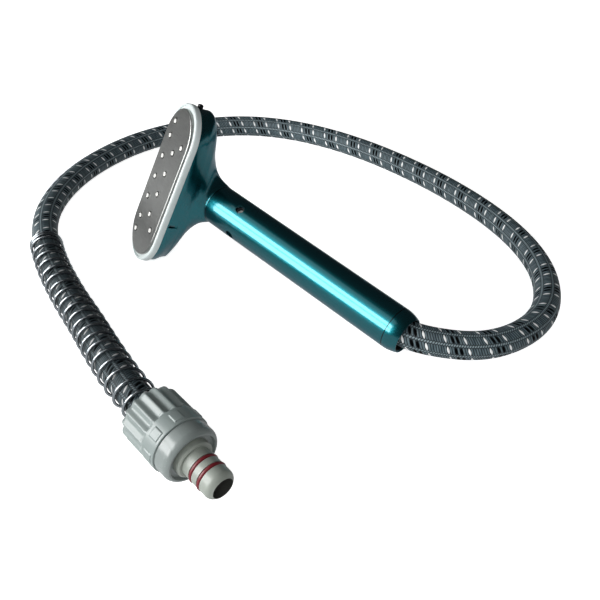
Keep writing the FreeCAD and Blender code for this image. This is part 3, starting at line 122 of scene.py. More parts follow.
# %% [markdown]
# ## Light
# Two long soft boxes stand one above the other in front and to the left. On the round handle they
# show as one bright streak with a fine dark line in it, which is the gap between the boxes. A weak
# third box above them softens the streak's upper edge. A wide fill lamp in front and to the right
# lightens matt plastic and yarn, but leaves no reflection. The room behind is dark, so glossy paint
# turned away from the boxes falls nearly to black. The plain view transform keeps white as white.


# %% Lights, in metres and watts
HANDLE_POINT = np.array([0.025, 0.021, 0.030])
HEAD_SIDE = HANDLE_POINT + np.array([-0.35, 0.05, 0.0])
BOX_DISTANCE = 2.4


def soft_box(name, way, aim, width, height, watts):
    """A rectangular lamp at aim + distance x way, turned to face the point it is aimed at."""
    lamp = bpy.data.lights.new(name, "AREA")
    lamp.shape = "RECTANGLE"
    lamp.size = width
    lamp.size_y = height
    lamp.energy = watts
    place = Vector(aim + BOX_DISTANCE * np.array(way))
    item = bpy.data.objects.new(name, lamp)
    item.location = place
    item.rotation_euler = (Vector(aim) - place).to_track_quat("-Z", "Y").to_euler()
    bpy.context.scene.collection.objects.link(item)
    return item


upper_box = soft_box("upper_box", (-0.325, -0.713, 0.621), HEAD_SIDE, 2.8, 0.70, 64)
lower_box = soft_box("lower_box", (-0.382, -0.885, 0.267), HEAD_SIDE, 2.8, 0.98, 90)
glow_box = soft_box("glow_box", (-0.200, -0.430, 0.880), HEAD_SIDE, 2.6, 1.20, 8)
fill_box = soft_box("fill_box", (0.550, -0.550, 0.628), HANDLE_POINT, 1.6, 1.60, 24)
upper_box.visible_diffuse = False
glow_box.visible_diffuse = False
fill_box.visible_glossy = False

world = bpy.data.worlds.new("dark_room")
world.use_nodes = True
background = world.node_tree.nodes["Background"]
background.inputs["Color"].default_value = (0.9, 0.95, 1.0, 1.0)
background.inputs["Strength"].default_value = 0.045
bpy.context.scene.world = world
bpy.context.scene.view_settings.view_transform = "Standard"
print("lamps:", [lamp.name for lamp in (upper_box, lower_box, glow_box, fill_box)])


# %% [markdown]
# ## How a surface is made
# Every new piece is a function of two numbers: how far along, and how far round. The function is
# evaluated for a whole grid at once, and neighbouring grid points are joined by four-sided faces. The
# grid's own numbers become the UV map, so that a pattern can follow the surface in real millimetres.


# %% A grid of points becomes a mesh
def grid_surface(name, points, u, v, round_columns=True, caps=True):
    """A mesh through points[row, column], row by row, with UV (u of the column, v of the row).

    With round_columns each row is a closed ring, and u has one more value than the ring has points.
    With caps the first and last ring are closed by a fan from their middle.
    """
    rows, columns = points.shape[:2]
    span = columns if round_columns else columns - 1
    row, column = np.meshgrid(np.arange(rows - 1), np.arange(span), indexing="ij")
    ahead = (column + 1) % columns
    quads = np.stack([
        row * columns + column, row * columns + ahead,
        (row + 1) * columns + ahead, (row + 1) * columns + column,
    ], axis=-1).reshape(-1, 4)
    uv = np.stack([
        np.stack([u[column], v[row]], -1), np.stack([u[column + 1], v[row]], -1),
        np.stack([u[column + 1], v[row + 1]], -1), np.stack([u[column], v[row + 1]], -1),
    ], axis=2).reshape(-1, 2)
    vertices = points.reshape(-1, 3)
    faces = quads.tolist()
    if caps:
        ring = np.arange(columns)
        ends = ((0, np.roll(ring, -1), ring), (rows - 1, ring, np.roll(ring, -1)))
        for end, first, second in ends:
            middle = len(vertices)
            vertices = np.vstack([vertices, points[end].mean(axis=0)])
            fan = np.stack([np.full(columns, middle), end * columns + first, end * columns + second], -1)
            faces += fan.tolist()
            uv = np.vstack([uv, np.tile([u[0], v[end]], (columns * 3, 1))])
    mesh = bpy.data.meshes.new(name)
    mesh.from_pydata(vertices.tolist(), [], faces)
    layer = mesh.uv_layers.new(name="along")
    layer.data.foreach_set("uv", uv.astype(np.float32).ravel())
    mesh.polygons.foreach_set("use_smooth", np.ones(len(faces), dtype=bool))
    mesh.update()
    item = bpy.data.objects.new(name, mesh)
    bpy.context.scene.collection.objects.link(item)
    print(name, "has", len(faces), "faces")
    return item


# %% [markdown]
# ## The hose's line
# A real hose is one smooth curve. Its route is a short list of points, chosen against the
# photograph, and a NURBS spline of order three bends evenly between them, as a stiff braid does. The
# points are millimetres from the handle's tail end, with their height above the ground.

# %% The route
ROUTE = [
    (8.5, 4.6, 13.4),
    (22.0, 14.5, 11.6),
    (34.0, 25.5, 10.4),
    (44.0, 39.0, 10.0),
    (51.0, 57.0, 10.0),
    (54.0, 78.0, 10.0),
    (51.5, 100.0, 10.0),
    (43.0, 122.0, 10.0),
    (29.5, 143.5, 10.0),
    (13.0, 162.0, 10.0),
    (-9.0, 180.0, 10.0),
    (-38.0, 197.0, 10.0),
    (-74.0, 212.0, 10.0),
    (-118.0, 224.5, 10.0),
    (-165.0, 232.0, 10.0),
    (-213.0, 235.0, 10.0),
    (-260.0, 231.0, 10.0),
    (-304.0, 218.5, 10.0),
    (-340.0, 195.5, 10.0),
    (-364.5, 163.0, 10.0),
    (-379.5, 125.0, 10.0),
    (-384.5, 83.0, 10.0),
    (-379.5, 40.0, 10.0),
    (-364.5, -6.5, 10.0),
    (-337.5, -51.0, 10.4),
    (-299.0, -88.0, 12.3),
    (-250.0, -114.5, 12.6),
    (-200.0, -133.0, 12.8),
    (-160.0, -145.5, 15.0),
    (-118.0, -161.5, 20.5),
]
HOSE_RADIUS = 10.0
CURVE_STEPS = 24

# How deep in the handle the hose starts and bends first, and how far behind the connector's seam it
# bends last and ends.
HOSE_ENTRY = 25.3
TAIL_CORNER = 4.5
CONNECTOR_CORNER = 46.0
HOSE_STOP = 8.0

inside_handle = placed([(HOSE_ENTRY, 0, 0), (TAIL_CORNER, 0, 0)], *HANDLE)
inside_connector = placed([(-CONNECTOR_CORNER, 0, 0), (-HOSE_STOP, 0, 0)], *CONNECTOR)
free_part = np.array(ROUTE) * MM + np.array([tail_end[0], tail_end[1], 0.0])
control = np.vstack([inside_handle, free_part, inside_connector])


def smooth_line(name, control_points):
    """The points of an order-three NURBS spline, read from a curve with no thickness."""
    curve = bpy.data.curves.new(name, "CURVE")
    curve.dimensions = "3D"
    curve.resolution_u = CURVE_STEPS
    spline = curve.splines.new("NURBS")
    spline.points.add(len(control_points) - 1)
    for point, place in zip(spline.points, control_points):
        point.co = (*place, 1.0)
    spline.order_u = 3
    spline.use_endpoint_u = True
    item = bpy.data.objects.new(name, curve)
    bpy.context.scene.collection.objects.link(item)
    bpy.context.view_layer.update()
    mesh = bpy.data.meshes.new_from_object(item)
    points = np.empty(len(mesh.vertices) * 3)
    mesh.vertices.foreach_get("co", points)
    bpy.data.objects.remove(item)
    bpy.data.meshes.remove(mesh)
    return points.reshape(-1, 3)


hose_line = smooth_line("hose_line", control)
steps = np.linalg.norm(np.diff(hose_line, axis=0), axis=1)
hose_reach = np.concatenate([[0.0], np.cumsum(steps)])
HOSE_LENGTH = hose_reach[-1]
print("hose length", round(HOSE_LENGTH, 4))


# %% Points and directions along the line
SLOPE_REACH = 1.5


def along_hose(distance):
    """Places on the line at distances from its start, with the side and up directions there.

    The side is forward x Z, made unit length, and up is side x forward. The hose never stands upright,
    so the side never vanishes.
    """
    def place(at):
        return np.stack([np.interp(at, hose_reach, hose_line[:, i]) for i in range(3)], axis=-1)

    before = np.clip(distance - SLOPE_REACH * MM, 0, HOSE_LENGTH)
    after = np.clip(distance + SLOPE_REACH * MM, 0, HOSE_LENGTH)
    forward = place(after) - place(before)
    forward /= np.linalg.norm(forward, axis=-1, keepdims=True)
    across = np.cross(forward, (0.0, 0.0, 1.0))
    across /= np.linalg.norm(across, axis=-1, keepdims=True)
    return place(distance), across, np.cross(across, forward)


# %% [markdown]
# ## The hose cover
# The cover is a tube of yarn braided over a rubber hose. Its surface point is centre + R(cos t side +
# sin t up). UV carries the angle as a share of a turn and the distance in millimetres, and the
# material draws the yarns from these two numbers.


# %% Tube
HOSE_RINGS = 620
HOSE_COLUMNS = 64


def tube(name, distance, radius, columns):
    """A tube round the hose's line: centre(d) + radius (cos t side + sin t up), t once round.

    The angle runs backwards, so that the faces look outwards, and so does u.
    """
    centre, across, upward = along_hose(distance)
    angle = -np.linspace(0, 2 * math.pi, columns, endpoint=False)[:, None]
    ring = across[:, None] * np.cos(angle) + upward[:, None] * np.sin(angle)
    points = centre[:, None] + ring * radius
    return grid_surface(name, points, np.linspace(1, 0, columns + 1), distance / MM)


stations = np.linspace(0, HOSE_LENGTH, HOSE_RINGS)
hose_cover = tube("hose_cover", stations, HOSE_RADIUS * MM, HOSE_COLUMNS)

# %% [markdown]
# ## The strain spring
# An open coil of hard wire keeps the hose from kinking at the connector. A helix winds round the
# hose's line, and the wire is a thin tube round the helix. The first turns are wound close.

# %% Coil, in millimetres
COIL_RADIUS = 11.6
WIRE_RADIUS = 0.95
COIL_LENGTH = 229.0
OPEN_TURNS = 20
CLOSE_TURNS = 2
CLOSE_PITCH = 2.8
CUP_STATION = 27.0
CUP_THICKNESS = 2.0
CUP_GAP = 0.1
STEPS_PER_TURN = 36
WIRE_COLUMNS = 12

all_turns = CLOSE_TURNS + OPEN_TURNS
open_pitch = (COIL_LENGTH - CLOSE_TURNS * CLOSE_PITCH) / OPEN_TURNS
coil_end = HOSE_LENGTH / MM - (CUP_STATION + CUP_THICKNESS - HOSE_STOP) - WIRE_RADIUS - CUP_GAP
turns = np.linspace(0, all_turns, STEPS_PER_TURN * all_turns + 1)


def wire_line(turn):
    """The wire's middle, axis + R (cos t side + sin t up), and its axis, after a number of turns."""
    advance = CLOSE_PITCH * np.minimum(turn, CLOSE_TURNS)
    advance = advance + open_pitch * np.maximum(turn - CLOSE_TURNS, 0)
    distance = (coil_end - COIL_LENGTH + advance) * MM
    centre, across, upward = along_hose(distance)
    angle = 2 * math.pi * turn[:, None]
    return centre + (across * np.cos(angle) + upward * np.sin(angle)) * COIL_RADIUS * MM, centre


helix, helix_axis = wire_line(turns)
wire_way = np.gradient(helix, axis=0)
wire_way /= np.linalg.norm(wire_way, axis=1, keepdims=True)
wire_out = helix - helix_axis
wire_out -= wire_way * np.sum(wire_out * wire_way, axis=1, keepdims=True)
wire_out /= np.linalg.norm(wire_out, axis=1, keepdims=True)
wire_side = np.cross(wire_way, wire_out)
round_wire = np.linspace(0, 2 * math.pi, WIRE_COLUMNS, endpoint=False)[:, None]
wire_ring = wire_out[:, None] * np.cos(round_wire) + wire_side[:, None] * np.sin(round_wire)
wire_points = helix[:, None] + wire_ring * WIRE_RADIUS * MM
coil = grid_surface("strain_coil", wire_points, np.linspace(0, 1, WIRE_COLUMNS + 1), turns)

# %% [markdown]
# ## The rim
# A frame of pale soft plastic goes round the face and over the shell's edge, so that a knock against
# the bath does no harm. Its cross-section is a closed line of insets and heights, swept round a
# stadium. A sweep keeps the crown's rounding even, which gives the frame one calm band of light.

# %% Rim, in millimetres in the plate's frame
RIM_BACK = -6.6
RIM_COLUMNS = 120
RIM_SHARP_DEGREES = 40

# Half the length and half the width of the outline.
RIM_OUTLINE = (64.3, 26.3)

# How far inside the outline each point of the section lies, and its height over the face.
RIM_SECTION = np.array([
    (0.75, RIM_BACK), (0.2, RIM_BACK), (0.06, RIM_BACK + 0.06), (0.0, RIM_BACK + 0.2), (0.0, -3.2),
    (0.05, -2.75), (0.2, -2.35), (0.45, -2.0), (0.8, -1.72), (1.2, -1.55), (1.6, -1.5), (1.85, -1.52),
    (2.0, -1.65), (2.0, -2.65), (6.0, -2.65), (6.0, -4.55), (0.75, -4.55), (0.75, RIM_BACK),
])


def stadium_sweep(section, columns):
    """A section of (inset, height) round a stadium: end + (half width - inset)(cos t, sin t), height."""
    half_turn = np.linspace(-math.pi / 2, math.pi / 2, columns // 2)
    angle = np.concatenate([half_turn, half_turn + math.pi])
    end = np.repeat([1.0, -1.0], columns // 2) * (RIM_OUTLINE[0] - RIM_OUTLINE[1])
    size = RIM_OUTLINE[1] - section[:, 0:1]
    x, y = end + size * np.cos(angle), size * np.sin(angle)
    return np.stack([x, y, np.broadcast_to(section[:, 1:2], x.shape)], -1)


def weld(piece, sharp_degrees):
    """Join points that coincide, and keep edges sharper than an angle crisp."""
    graph = bmesh.new()
    graph.from_mesh(piece.data)
    bmesh.ops.remove_doubles(graph, verts=graph.verts, dist=0.001 * MM)
    graph.to_mesh(piece.data)
    graph.free()
    piece.data.set_sharp_from_angle(angle=math.radians(sharp_degrees))


rim_points = placed(stadium_sweep(RIM_SECTION, RIM_COLUMNS), *PLATE)
rim_u, rim_v = np.linspace(0, 1, RIM_COLUMNS + 1), np.linspace(0, 1, len(RIM_SECTION))
rim_skin = grid_surface("rim_skin", rim_points, rim_u, rim_v, caps=False)
weld(rim_skin, RIM_SHARP_DEGREES)

# %% [markdown]
# ## The shell
# The teal shell is one moulding that flows from the long rim of the face into the round neck. It could
# be modelled by hand with a subdivision cage. Here it is a row of cross-sections that fan from the
# rim's plane to the neck's, because then its outline can be set section by section.

# %% Shell sizes, in millimetres in the plate's frame
RIM_HALF_LENGTH = 63.6
RIM_HALF_WIDTH = 25.6
RIM_DEPTH = -4.6
NECK_STATION = 184.1
NECK_RADIUS = 15.6
NECK_LIP = 1.5
FLOOR_GAP = 0.1
SHELL_RINGS = 96
SHELL_COLUMNS = 200

# The share of the way over which the sections turn from the stadium to the ellipse, and how far a
# section may widen for each millimetre that it lies behind the rim.
OVAL_SPAN = (0.05, 0.60)
TUCK_SLOPE = 1.5

# Share of the way from rim to neck on the near side, inward dip there, share on the far side, outward
# bulge there, and how much of the rim's extra length is left.
SHELL_ROWS = np.array([
    (0.000, 0.0, 0.000, 0.0, 1.000),
    (0.180, 0.0, 0.065, 3.5, 0.987),
    (0.350, 0.4, 0.140, 6.6, 0.989),
    (0.500, 0.8, 0.226, 8.4, 0.990),
    (0.600, 1.2, 0.352, 8.3, 0.893),
    (0.700, 1.3, 0.454, 8.2, 0.696),
    (0.810, 1.0, 0.581, 5.7, 0.352),
    (0.905, 0.5, 0.763, 2.0, 0.117),
    (1.000, 0.0, 1.000, 0.0, 0.000),
])


# %% Shell surface
def fade(value, start, end):
    """0 before start, 1 after end, and a soft step 3t^2 - 2t^3 between."""
    t = np.clip((value - start) / (end - start), 0, 1)
    return t * t * (3 - 2 * t)


def smooth_rows(rows, count):
    """A Catmull-Rom curve through rows of numbers, and how far along it each of its points is."""
    padded = np.vstack([2 * rows[0] - rows[1], rows, 2 * rows[-1] - rows[-2]])
    way = np.linspace(0, len(rows) - 1, count)
    first = np.minimum(way.astype(int), len(rows) - 2)
    t = (way - first)[:, None]
    a, b, c, d = (padded[first + shift] for shift in range(4))
    second = (2 * a - 5 * b + 4 * c - d) * t ** 2
    third = (3 * b - a - 3 * c + d) * t ** 3
    return b + 0.5 * ((c - a) * t + second + third), way / (len(rows) - 1)


def shell_points(count, columns):
    """Rings from the rim to the neck: middle + x along the head + y across the section.

    x = length cos t. y is the stadium's half width, sqrt(half^2 - (|x| - straight)^2), at the rim and
    turns into the ellipse's, half |sin t|, further back, so no corner of the outline runs into the neck.
    The far side stays inside the rim's skirt until it is past it. A ring that would reach under the
    floor is drawn in at its lower end until it clears it.
    """
    local = np.array(PLATE[1])
    axis = local @ handle_axis
    neck = local @ (tail_end + handle_axis * (NECK_STATION + NECK_LIP) * MM - face_centre) / MM
    to_side = np.array([0.0, -axis[2], axis[1]]) * NECK_RADIUS
    near_rim, near_neck = np.array([0, -RIM_HALF_WIDTH, RIM_DEPTH]), neck + to_side
    far_rim, far_neck = np.array([0, RIM_HALF_WIDTH, RIM_DEPTH]), neck - to_side
    chord = far_neck - far_rim
    bulge_way = unit((0.0, -chord[2], chord[1]))
    rows, share = smooth_rows(SHELL_ROWS, count)
    near = near_rim + (near_neck - near_rim) * rows[:, 0:1] + np.array([0.0, 1.0, 0.0]) * rows[:, 1:2]
    far = far_rim + chord * rows[:, 2:3] + bulge_way * rows[:, 3:4]
    half = np.linalg.norm(far - near, axis=1) / 2
    across = (far - near) / (2 * half[:, None])
    length = np.maximum(NECK_RADIUS + (RIM_HALF_LENGTH - NECK_RADIUS) * rows[:, 4], half)[:, None]
    half = half[:, None]
    angle = np.linspace(0, 2 * math.pi, columns, endpoint=False)
    x = length * np.cos(angle)
    past_straight = np.clip(np.abs(x) - (length - half), 0, None)
    stadium = np.sqrt(np.clip(half ** 2 - past_straight ** 2, 0, None))
    ellipse = half * np.abs(np.sin(angle))
    oval = fade(share, *OVAL_SPAN)[:, None]
    y = np.sign(np.sin(angle).round(9)) * (stadium + (ellipse - stadium) * oval)
    middle = (near + far)[:, None] / 2
    rings = middle + across[:, None] * y[..., None] + np.array([1.0, 0.0, 0.0]) * x[..., None]
    tucked = RIM_HALF_WIDTH + TUCK_SLOPE * np.clip(RIM_BACK - rings[..., 2], 0, None)
    rings[..., 1] = np.minimum(rings[..., 1], tucked)
    lowest = placed(rings, *PLATE)[..., 2].min(axis=1)
    under_floor = np.clip(FLOOR_GAP * MM - lowest, 0, None) / (head_long[2] * MM)
    rings[..., 0] += np.where(np.cos(angle) < 0, under_floor[:, None] * np.abs(x) / length, 0)
    return rings, neck, axis


shell_rings, neck, neck_axis = shell_points(SHELL_RINGS, SHELL_COLUMNS)

# %% [markdown]
# The moulding has a small rounded edge behind the rim, and a narrow lip where it meets the handle. The
# lip is a short straight collar with a rounded corner, so it catches the same light as the handle and
# then a dark line separates the two.

# %% Shell edges, in millimetres
# Inset and drop of the rings that lead over the rounded edge behind the rim.
RIM_EDGE = ((2.0, 0.0), (0.35, 0.0), (0.1, 0.1))
RIM_EDGE_DROP = 0.35

# Distance of the lip's rings from the last cross-section towards the handle, and their radius.
LIP_RINGS = ((0.5, 15.6), (1.0, 15.6), (1.25, 15.5), (1.4, 15.3), (1.5, 14.9))


def inner_ring(ring, inset, drop):
    """middle + (point - middle)(1 - inset / half size) for both half sizes, and a drop back."""
    middle = ring.mean(axis=0)
    share = np.array([1 - inset / RIM_HALF_LENGTH, 1 - inset / RIM_HALF_WIDTH, 1.0])
    return middle + (ring - middle) * share - np.array([0, 0, drop])


rim_edge = [inner_ring(shell_rings[0], inset, drop) for inset, drop in RIM_EDGE]
shell_rings[0] -= np.array([0, 0, RIM_EDGE_DROP])
neck_ring = shell_rings[-1] - neck
lip = [neck + neck_ring * (radius / NECK_RADIUS) - neck_axis * back for back, radius in LIP_RINGS]
shell_all = np.concatenate([rim_edge, shell_rings, lip])
shell_u, shell_v = np.linspace(0, 1, SHELL_COLUMNS + 1), np.linspace(0, 1, len(shell_all))
shell_skin = grid_surface("shell_skin", placed(shell_all[::-1], *PLATE), shell_u, shell_v)

# %% [markdown]
# ### The latch slot
# A narrow slot in the shell's side takes the tongue of the wall holder. It is cut with a small box and
# the Boolean modifier, which is applied at once so that the finished shell is one plain mesh.

# %% Slot, in millimetres in the plate's frame
SLOT_PLACE = 23.8
SLOT_SIZE = (1.4, 6.0, 8.0)
SLOT_START = 8.0


def box(name, middle, size, origin, axes):
    """A block: middle plus or minus half its size along three directions."""
    signs = np.array([(x, y, z) for x in (-1, 1) for y in (-1, 1) for z in (-1, 1)]) / 2
    corners = placed(np.array(middle) + signs * np.array(size), origin, axes)
    faces = [(0, 1, 3, 2), (4, 6, 7, 5), (0, 4, 5, 1), (2, 3, 7, 6), (0, 2, 6, 4), (1, 5, 7, 3)]
    mesh = bpy.data.meshes.new(name)
    mesh.from_pydata(corners.tolist(), [], faces)
    item = bpy.data.objects.new(name, mesh)
    bpy.context.scene.collection.objects.link(item)
    return item


def cut(piece, cutter):
    """Take the cutter's room out of a piece, and remove the cutter."""
    modifier = piece.modifiers.new("cut", "BOOLEAN")
    modifier.operation = "DIFFERENCE"
    modifier.solver = "EXACT"
    modifier.object = cutter
    depsgraph = bpy.context.evaluated_depsgraph_get()
    piece.data = bpy.data.meshes.new_from_object(piece.evaluated_get(depsgraph))
    piece.modifiers.clear()
    bpy.data.objects.remove(cutter)


slot_middle = (-SLOT_PLACE, -RIM_HALF_WIDTH, -SLOT_START - SLOT_SIZE[2] / 2)
cut(shell_skin, box("slot_cutter", slot_middle, SLOT_SIZE, *PLATE))
print("shell faces after the slot:", len(shell_skin.data.polygons))

# %% [markdown]
# ## The lock nut
# The nut is moulded with sixteen shallow grip flutes that fade out before its front edge, where eight
# low pads stand. One radius as a function of angle and length describes all of it, and fine columns
# keep the ribs round.

# %% Nut sizes, in millimetres from the seam
NUT_RADIUS = 19.0
NUT_REAR = 33.0
NUT_REAR_RADIUS = 14.8
NUT_SHOULDER = 4.4
NUT_FLUTES = 16
FLUTE_DEPTH = 1.7
FLUTE_FRONT = 10.3
FLUTE_RUN_OUT = 2.2
PADS = 8
PAD_HALF_WIDTH = 3.0
PAD_SPAN = (-8.4, -2.2)
PAD_HEIGHT = 0.5
PAD_EDGE = 0.15
NUT_COLUMNS = 400
SHOULDER_POINTS = 16

# The flutes start where the body's radius passes the first value and are full after the rise. An
# exponent below one widens them.
FLUTE_RADIUS = 14.2
FLUTE_RISE = 3.0
FLUTE_EXPONENT = 0.8

# The body's rows lie closer together over the flutes' ends and the pads.
FINE_FROM = -13.0
ROW_STEP = 0.4
FINE_STEP = 0.2

# Distance and radius along the rear opening and the front edge.
NUT_OPENING = [(-30.0, 13.5), (-32.7, 13.5), (-33.0, 13.8), (-33.0, 14.4)]
NUT_FRONT = [(-0.65, 19.0), (-0.4, 18.9), (-0.25, 18.6), (-0.25, 14.6)]


# %% Nut surface
def nut_profile():
    """Distance and radius from the rear opening over the shoulder to the front edge."""
    turn_angle = np.linspace(0, math.pi / 2, SHOULDER_POINTS)
    shoulder = np.stack([
        -NUT_REAR + NUT_SHOULDER * (1 - np.cos(turn_angle)),
        NUT_REAR_RADIUS + (NUT_RADIUS - NUT_REAR_RADIUS) * np.sin(turn_angle),
    ], -1)
    body_start = -NUT_REAR + NUT_SHOULDER + ROW_STEP
    rough = np.arange(body_start, FINE_FROM, ROW_STEP)
    fine = np.arange(FINE_FROM, NUT_FRONT[0][0], FINE_STEP)
    body = np.concatenate([rough, fine])
    barrel = np.stack([body, np.full(len(body), NUT_RADIUS)], -1)
    return np.concatenate([NUT_OPENING, shoulder, barrel, NUT_FRONT])


def nut_points():
    """Radius = profile - flute wave + pads, at every distance and angle."""
    profile = nut_profile()
    x, radius = profile[:, 0:1], profile[:, 1:2]
    angle = np.linspace(0, 2 * math.pi, NUT_COLUMNS, endpoint=False)
    wave = (0.5 + 0.5 * np.cos(NUT_FLUTES * angle)) ** FLUTE_EXPONENT
    depth = FLUTE_DEPTH * fade(-x, FLUTE_FRONT, FLUTE_FRONT + FLUTE_RUN_OUT)
    depth = depth * np.clip((radius - FLUTE_RADIUS) / FLUTE_RISE, 0, 1)
    turned = (angle * PADS / (2 * math.pi) + 0.5) % 1 - 0.5
    off = np.abs(turned) * 2 * math.pi * NUT_RADIUS / PADS
    begun = fade(x, PAD_SPAN[0] - PAD_EDGE, PAD_SPAN[0] + PAD_EDGE)
    ended = fade(x, PAD_SPAN[1] - PAD_EDGE, PAD_SPAN[1] + PAD_EDGE)
    beside = fade(off, PAD_HALF_WIDTH - PAD_EDGE, PAD_HALF_WIDTH + PAD_EDGE)
    size = radius - depth * wave + PAD_HEIGHT * begun * (1 - ended) * (1 - beside)
    return np.stack([np.broadcast_to(x, size.shape), size * np.cos(angle), size * np.sin(angle)], -1)


nut_rings = nut_points()
nut_u, nut_v = np.linspace(0, 1, NUT_COLUMNS + 1), nut_rings[:, 0, 0]
nut_skin = grid_surface("nut_skin", placed(nut_rings, *CONNECTOR), nut_u, nut_v)

# %% [markdown]
# ## Materials
# A material is a small graph of nodes. One helper adds a node of any kind, and one feeds a node's
# inputs with values or with other nodes. Colours are written as they look on screen, in sRGB hex, and
# turned to the linear values that Blender works in.


# %% Colour and node helpers
def colour(code):
    """An sRGB hex colour as linear red, green, blue and alpha: ((c + 0.055) / 1.055) ** 2.4."""
    parts = [int(code[i:i + 2], 16) / 255 for i in (1, 3, 5)]
    linear = [c / 12.92 if c <= 0.04045 else ((c + 0.055) / 1.055) ** 2.4 for c in parts]
    return (*linear, 1.0)


def feed(tree, node, inputs):
    """Set a node's inputs, by name or number, to a value, an output, or a node's first live output."""
    for key, value in inputs.items():
        if isinstance(value, bpy.types.Node):
            value = next(output for output in value.outputs if output.enabled)
        if isinstance(value, bpy.types.NodeSocket):
            tree.links.new(value, node.inputs[key])
        else:
            node.inputs[key].default_value = value


def add(tree, kind, inputs=None, **settings):
    """Add a shader node of a kind: settings are its own properties, and its inputs are fed."""
    node = tree.nodes.new("ShaderNode" + kind)
    for key, value in settings.items():
        setattr(node, key, value)
    feed(tree, node, inputs or {})
    return node


def new_material(name):
    """An empty material with its surface shader; returns the material, its graph and the shader."""
    material = bpy.data.materials.new(name)
    material.use_nodes = True
    tree = material.node_tree
    return material, tree, tree.nodes["Principled BSDF"]


def dress(material, *pieces):
    """Give a material to pieces, in place of any that they carry."""
    for piece in pieces:
        piece.data.materials.clear()
        piece.data.materials.append(material)
    print(material.name, "on", [piece.name for piece in pieces])


# %% [markdown]
# ### Moulded plastic
# Injection-moulded parts copy the fine grain of their steel mould. A noise pattern a millimetre or
# less across varies the gloss a little and gives the faintest relief.


# %% Plastic
MOULD_GRAIN = 0.8
MOULD_RELIEF = 0.01


def moulded_plastic(name, tint, roughness, metallic=0.0):
    """Plastic from a steel mould: even colour, slightly uneven gloss, a faint grain."""
    material, tree, shader = new_material(name)
    place = add(tree, "TexCoord")
    grain = add(tree, "TexNoise", {
        "Vector": place.outputs["Object"], "Scale": 1 / (MOULD_GRAIN * MM), "Detail": 2.0,
    })
    gloss = add(tree, "MapRange", {
        "Value": grain, "To Min": roughness - 0.05, "To Max": roughness + 0.07,
    })
    relief = add(tree, "Bump", {"Height": grain, "Strength": 0.4, "Distance": MOULD_RELIEF * MM})
    feed(tree, shader, {
        "Base Color": colour(tint), "Metallic": metallic, "Roughness": gloss, "Normal": relief,
    })
    return material


# ABS comes out of a polished mould with a soft gloss, which is highest on the smooth collar.
nut_abs = moulded_plastic("moulded_abs_mid_grey", "#838D8B", 0.33)
collar_abs = moulded_plastic("moulded_abs_cool_grey", "#808886", 0.24)
inner_abs = moulded_plastic("moulded_abs_natural", "#D5D3C8", 0.45)

# Acetal is waxy and nylon is hard: the first spreads its highlight, the second keeps it small.
spigot_pom = moulded_plastic("moulded_acetal_pale_green_grey", "#90968E", 0.36)
core_nylon = moulded_plastic("moulded_nylon_black", "#0C0E10", 0.30)

# Elastomer, silicone and rubber are soft to the touch and look nearly matt.
rim_tpe = moulded_plastic("moulded_elastomer_pale_rim", "#D3DCDB", 0.42)
pip_silicone = moulded_plastic("silicone_pips_white", "#EDEDE8", 0.40)
black_rubber = moulded_plastic("moulded_rubber_black", "#0E0F10", 0.55)
ring_rubber = moulded_plastic("sealing_ring_dark_red", "#6E1A22", 0.38)

# %% [markdown]
# Two parts carry a second, dark colour, which is painted shade. The nozzle mat is painted dark
# below the plate's face and a little way up each pip, so each pip stands in a thin ring of painted
# shade, as it would in its hole. The spigot's bore is painted dark, as painted shade deep inside it.
# Where the colour changes is worked out from the place of a point: its height over the plate's face,
# or its distance from the connector's axis.


# %% Painted shade, in millimetres
COLOUR_EDGE = 0.1
PIP_SHADE_HEIGHT = 0.15
BORE_SHADE_RADIUS = 6.72


def second_colour(material, measure, level, dark):
    """Give a material a second colour where a measure of the place stays under a level."""
    tree = material.node_tree
    shader = tree.nodes["Principled BSDF"]
    low, high = (level - COLOUR_EDGE) * MM, (level + COLOUR_EDGE) * MM
    share = add(tree, "MapRange", {"Value": measure(tree), "From Min": low, "From Max": high})
    first = tuple(shader.inputs["Base Color"].default_value)
    tone = add(tree, "Mix", {"Factor": share, 6: colour(dark), 7: first}, data_type="RGBA")
    feed(tree, shader, {"Base Color": tone})


def place_from(tree, origin):
    """The vector from an origin to the shaded point."""
    inputs = {0: add(tree, "TexCoord").outputs["Object"], 1: tuple(origin)}
    return add(tree, "VectorMath", inputs, operation="SUBTRACT")


def height_over_face(tree):
    """(P - face centre) . face normal."""
    inputs = {0: place_from(tree, face_centre), 1: tuple(face_normal)}
    return add(tree, "VectorMath", inputs, operation="DOT_PRODUCT")


def distance_from_axis(tree):
    """|(P - seam) x turning axis|."""
    inputs = {0: place_from(tree, seam), 1: tuple(outward)}
    crossed = add(tree, "VectorMath", inputs, operation="CROSS_PRODUCT")
    return add(tree, "VectorMath", {0: crossed}, operation="LENGTH")


# The mat is painted dark below the plate's face and round the foot of each pip: painted shade.
second_colour(pip_silicone, height_over_face, PIP_SHADE_HEIGHT, "#1B1D1E")
# The spigot's bore is painted dark inside this radius: painted shade in the deep bore.
second_colour(spigot_pom, distance_from_axis, BORE_SHADE_RADIUS, "#3B3C39")

# %% [markdown]
# ### Metals
# The retaining clip and the spring's cup are stainless steel, tumbled bright, and the spring is hard
# drawn wire. Brass and aluminium are used inside, where they only meet water. A metal's colour is all
# in its reflection. The zinc-plated screws sit deep in dark recesses, where bare metal would only
# mirror the dark wall. They are made like the pale plastics, with a little metal in them.


# %% Metals
POLISH_GRAIN = 0.5
POLISH_SPREAD = 0.06


def metal(name, tint, roughness):
    """Bare metal with a slightly uneven polish."""
    material, tree, shader = new_material(name)
    place = add(tree, "TexCoord")
    wear = add(tree, "TexNoise", {
        "Vector": place.outputs["Object"], "Scale": 1 / (POLISH_GRAIN * MM), "Detail": 3.0,
    })
    polish = add(tree, "MapRange", {
        "Value": wear, "To Min": roughness, "To Max": roughness + POLISH_SPREAD,
    })
    feed(tree, shader, {"Base Color": colour(tint), "Metallic": 1.0, "Roughness": polish})
    return material


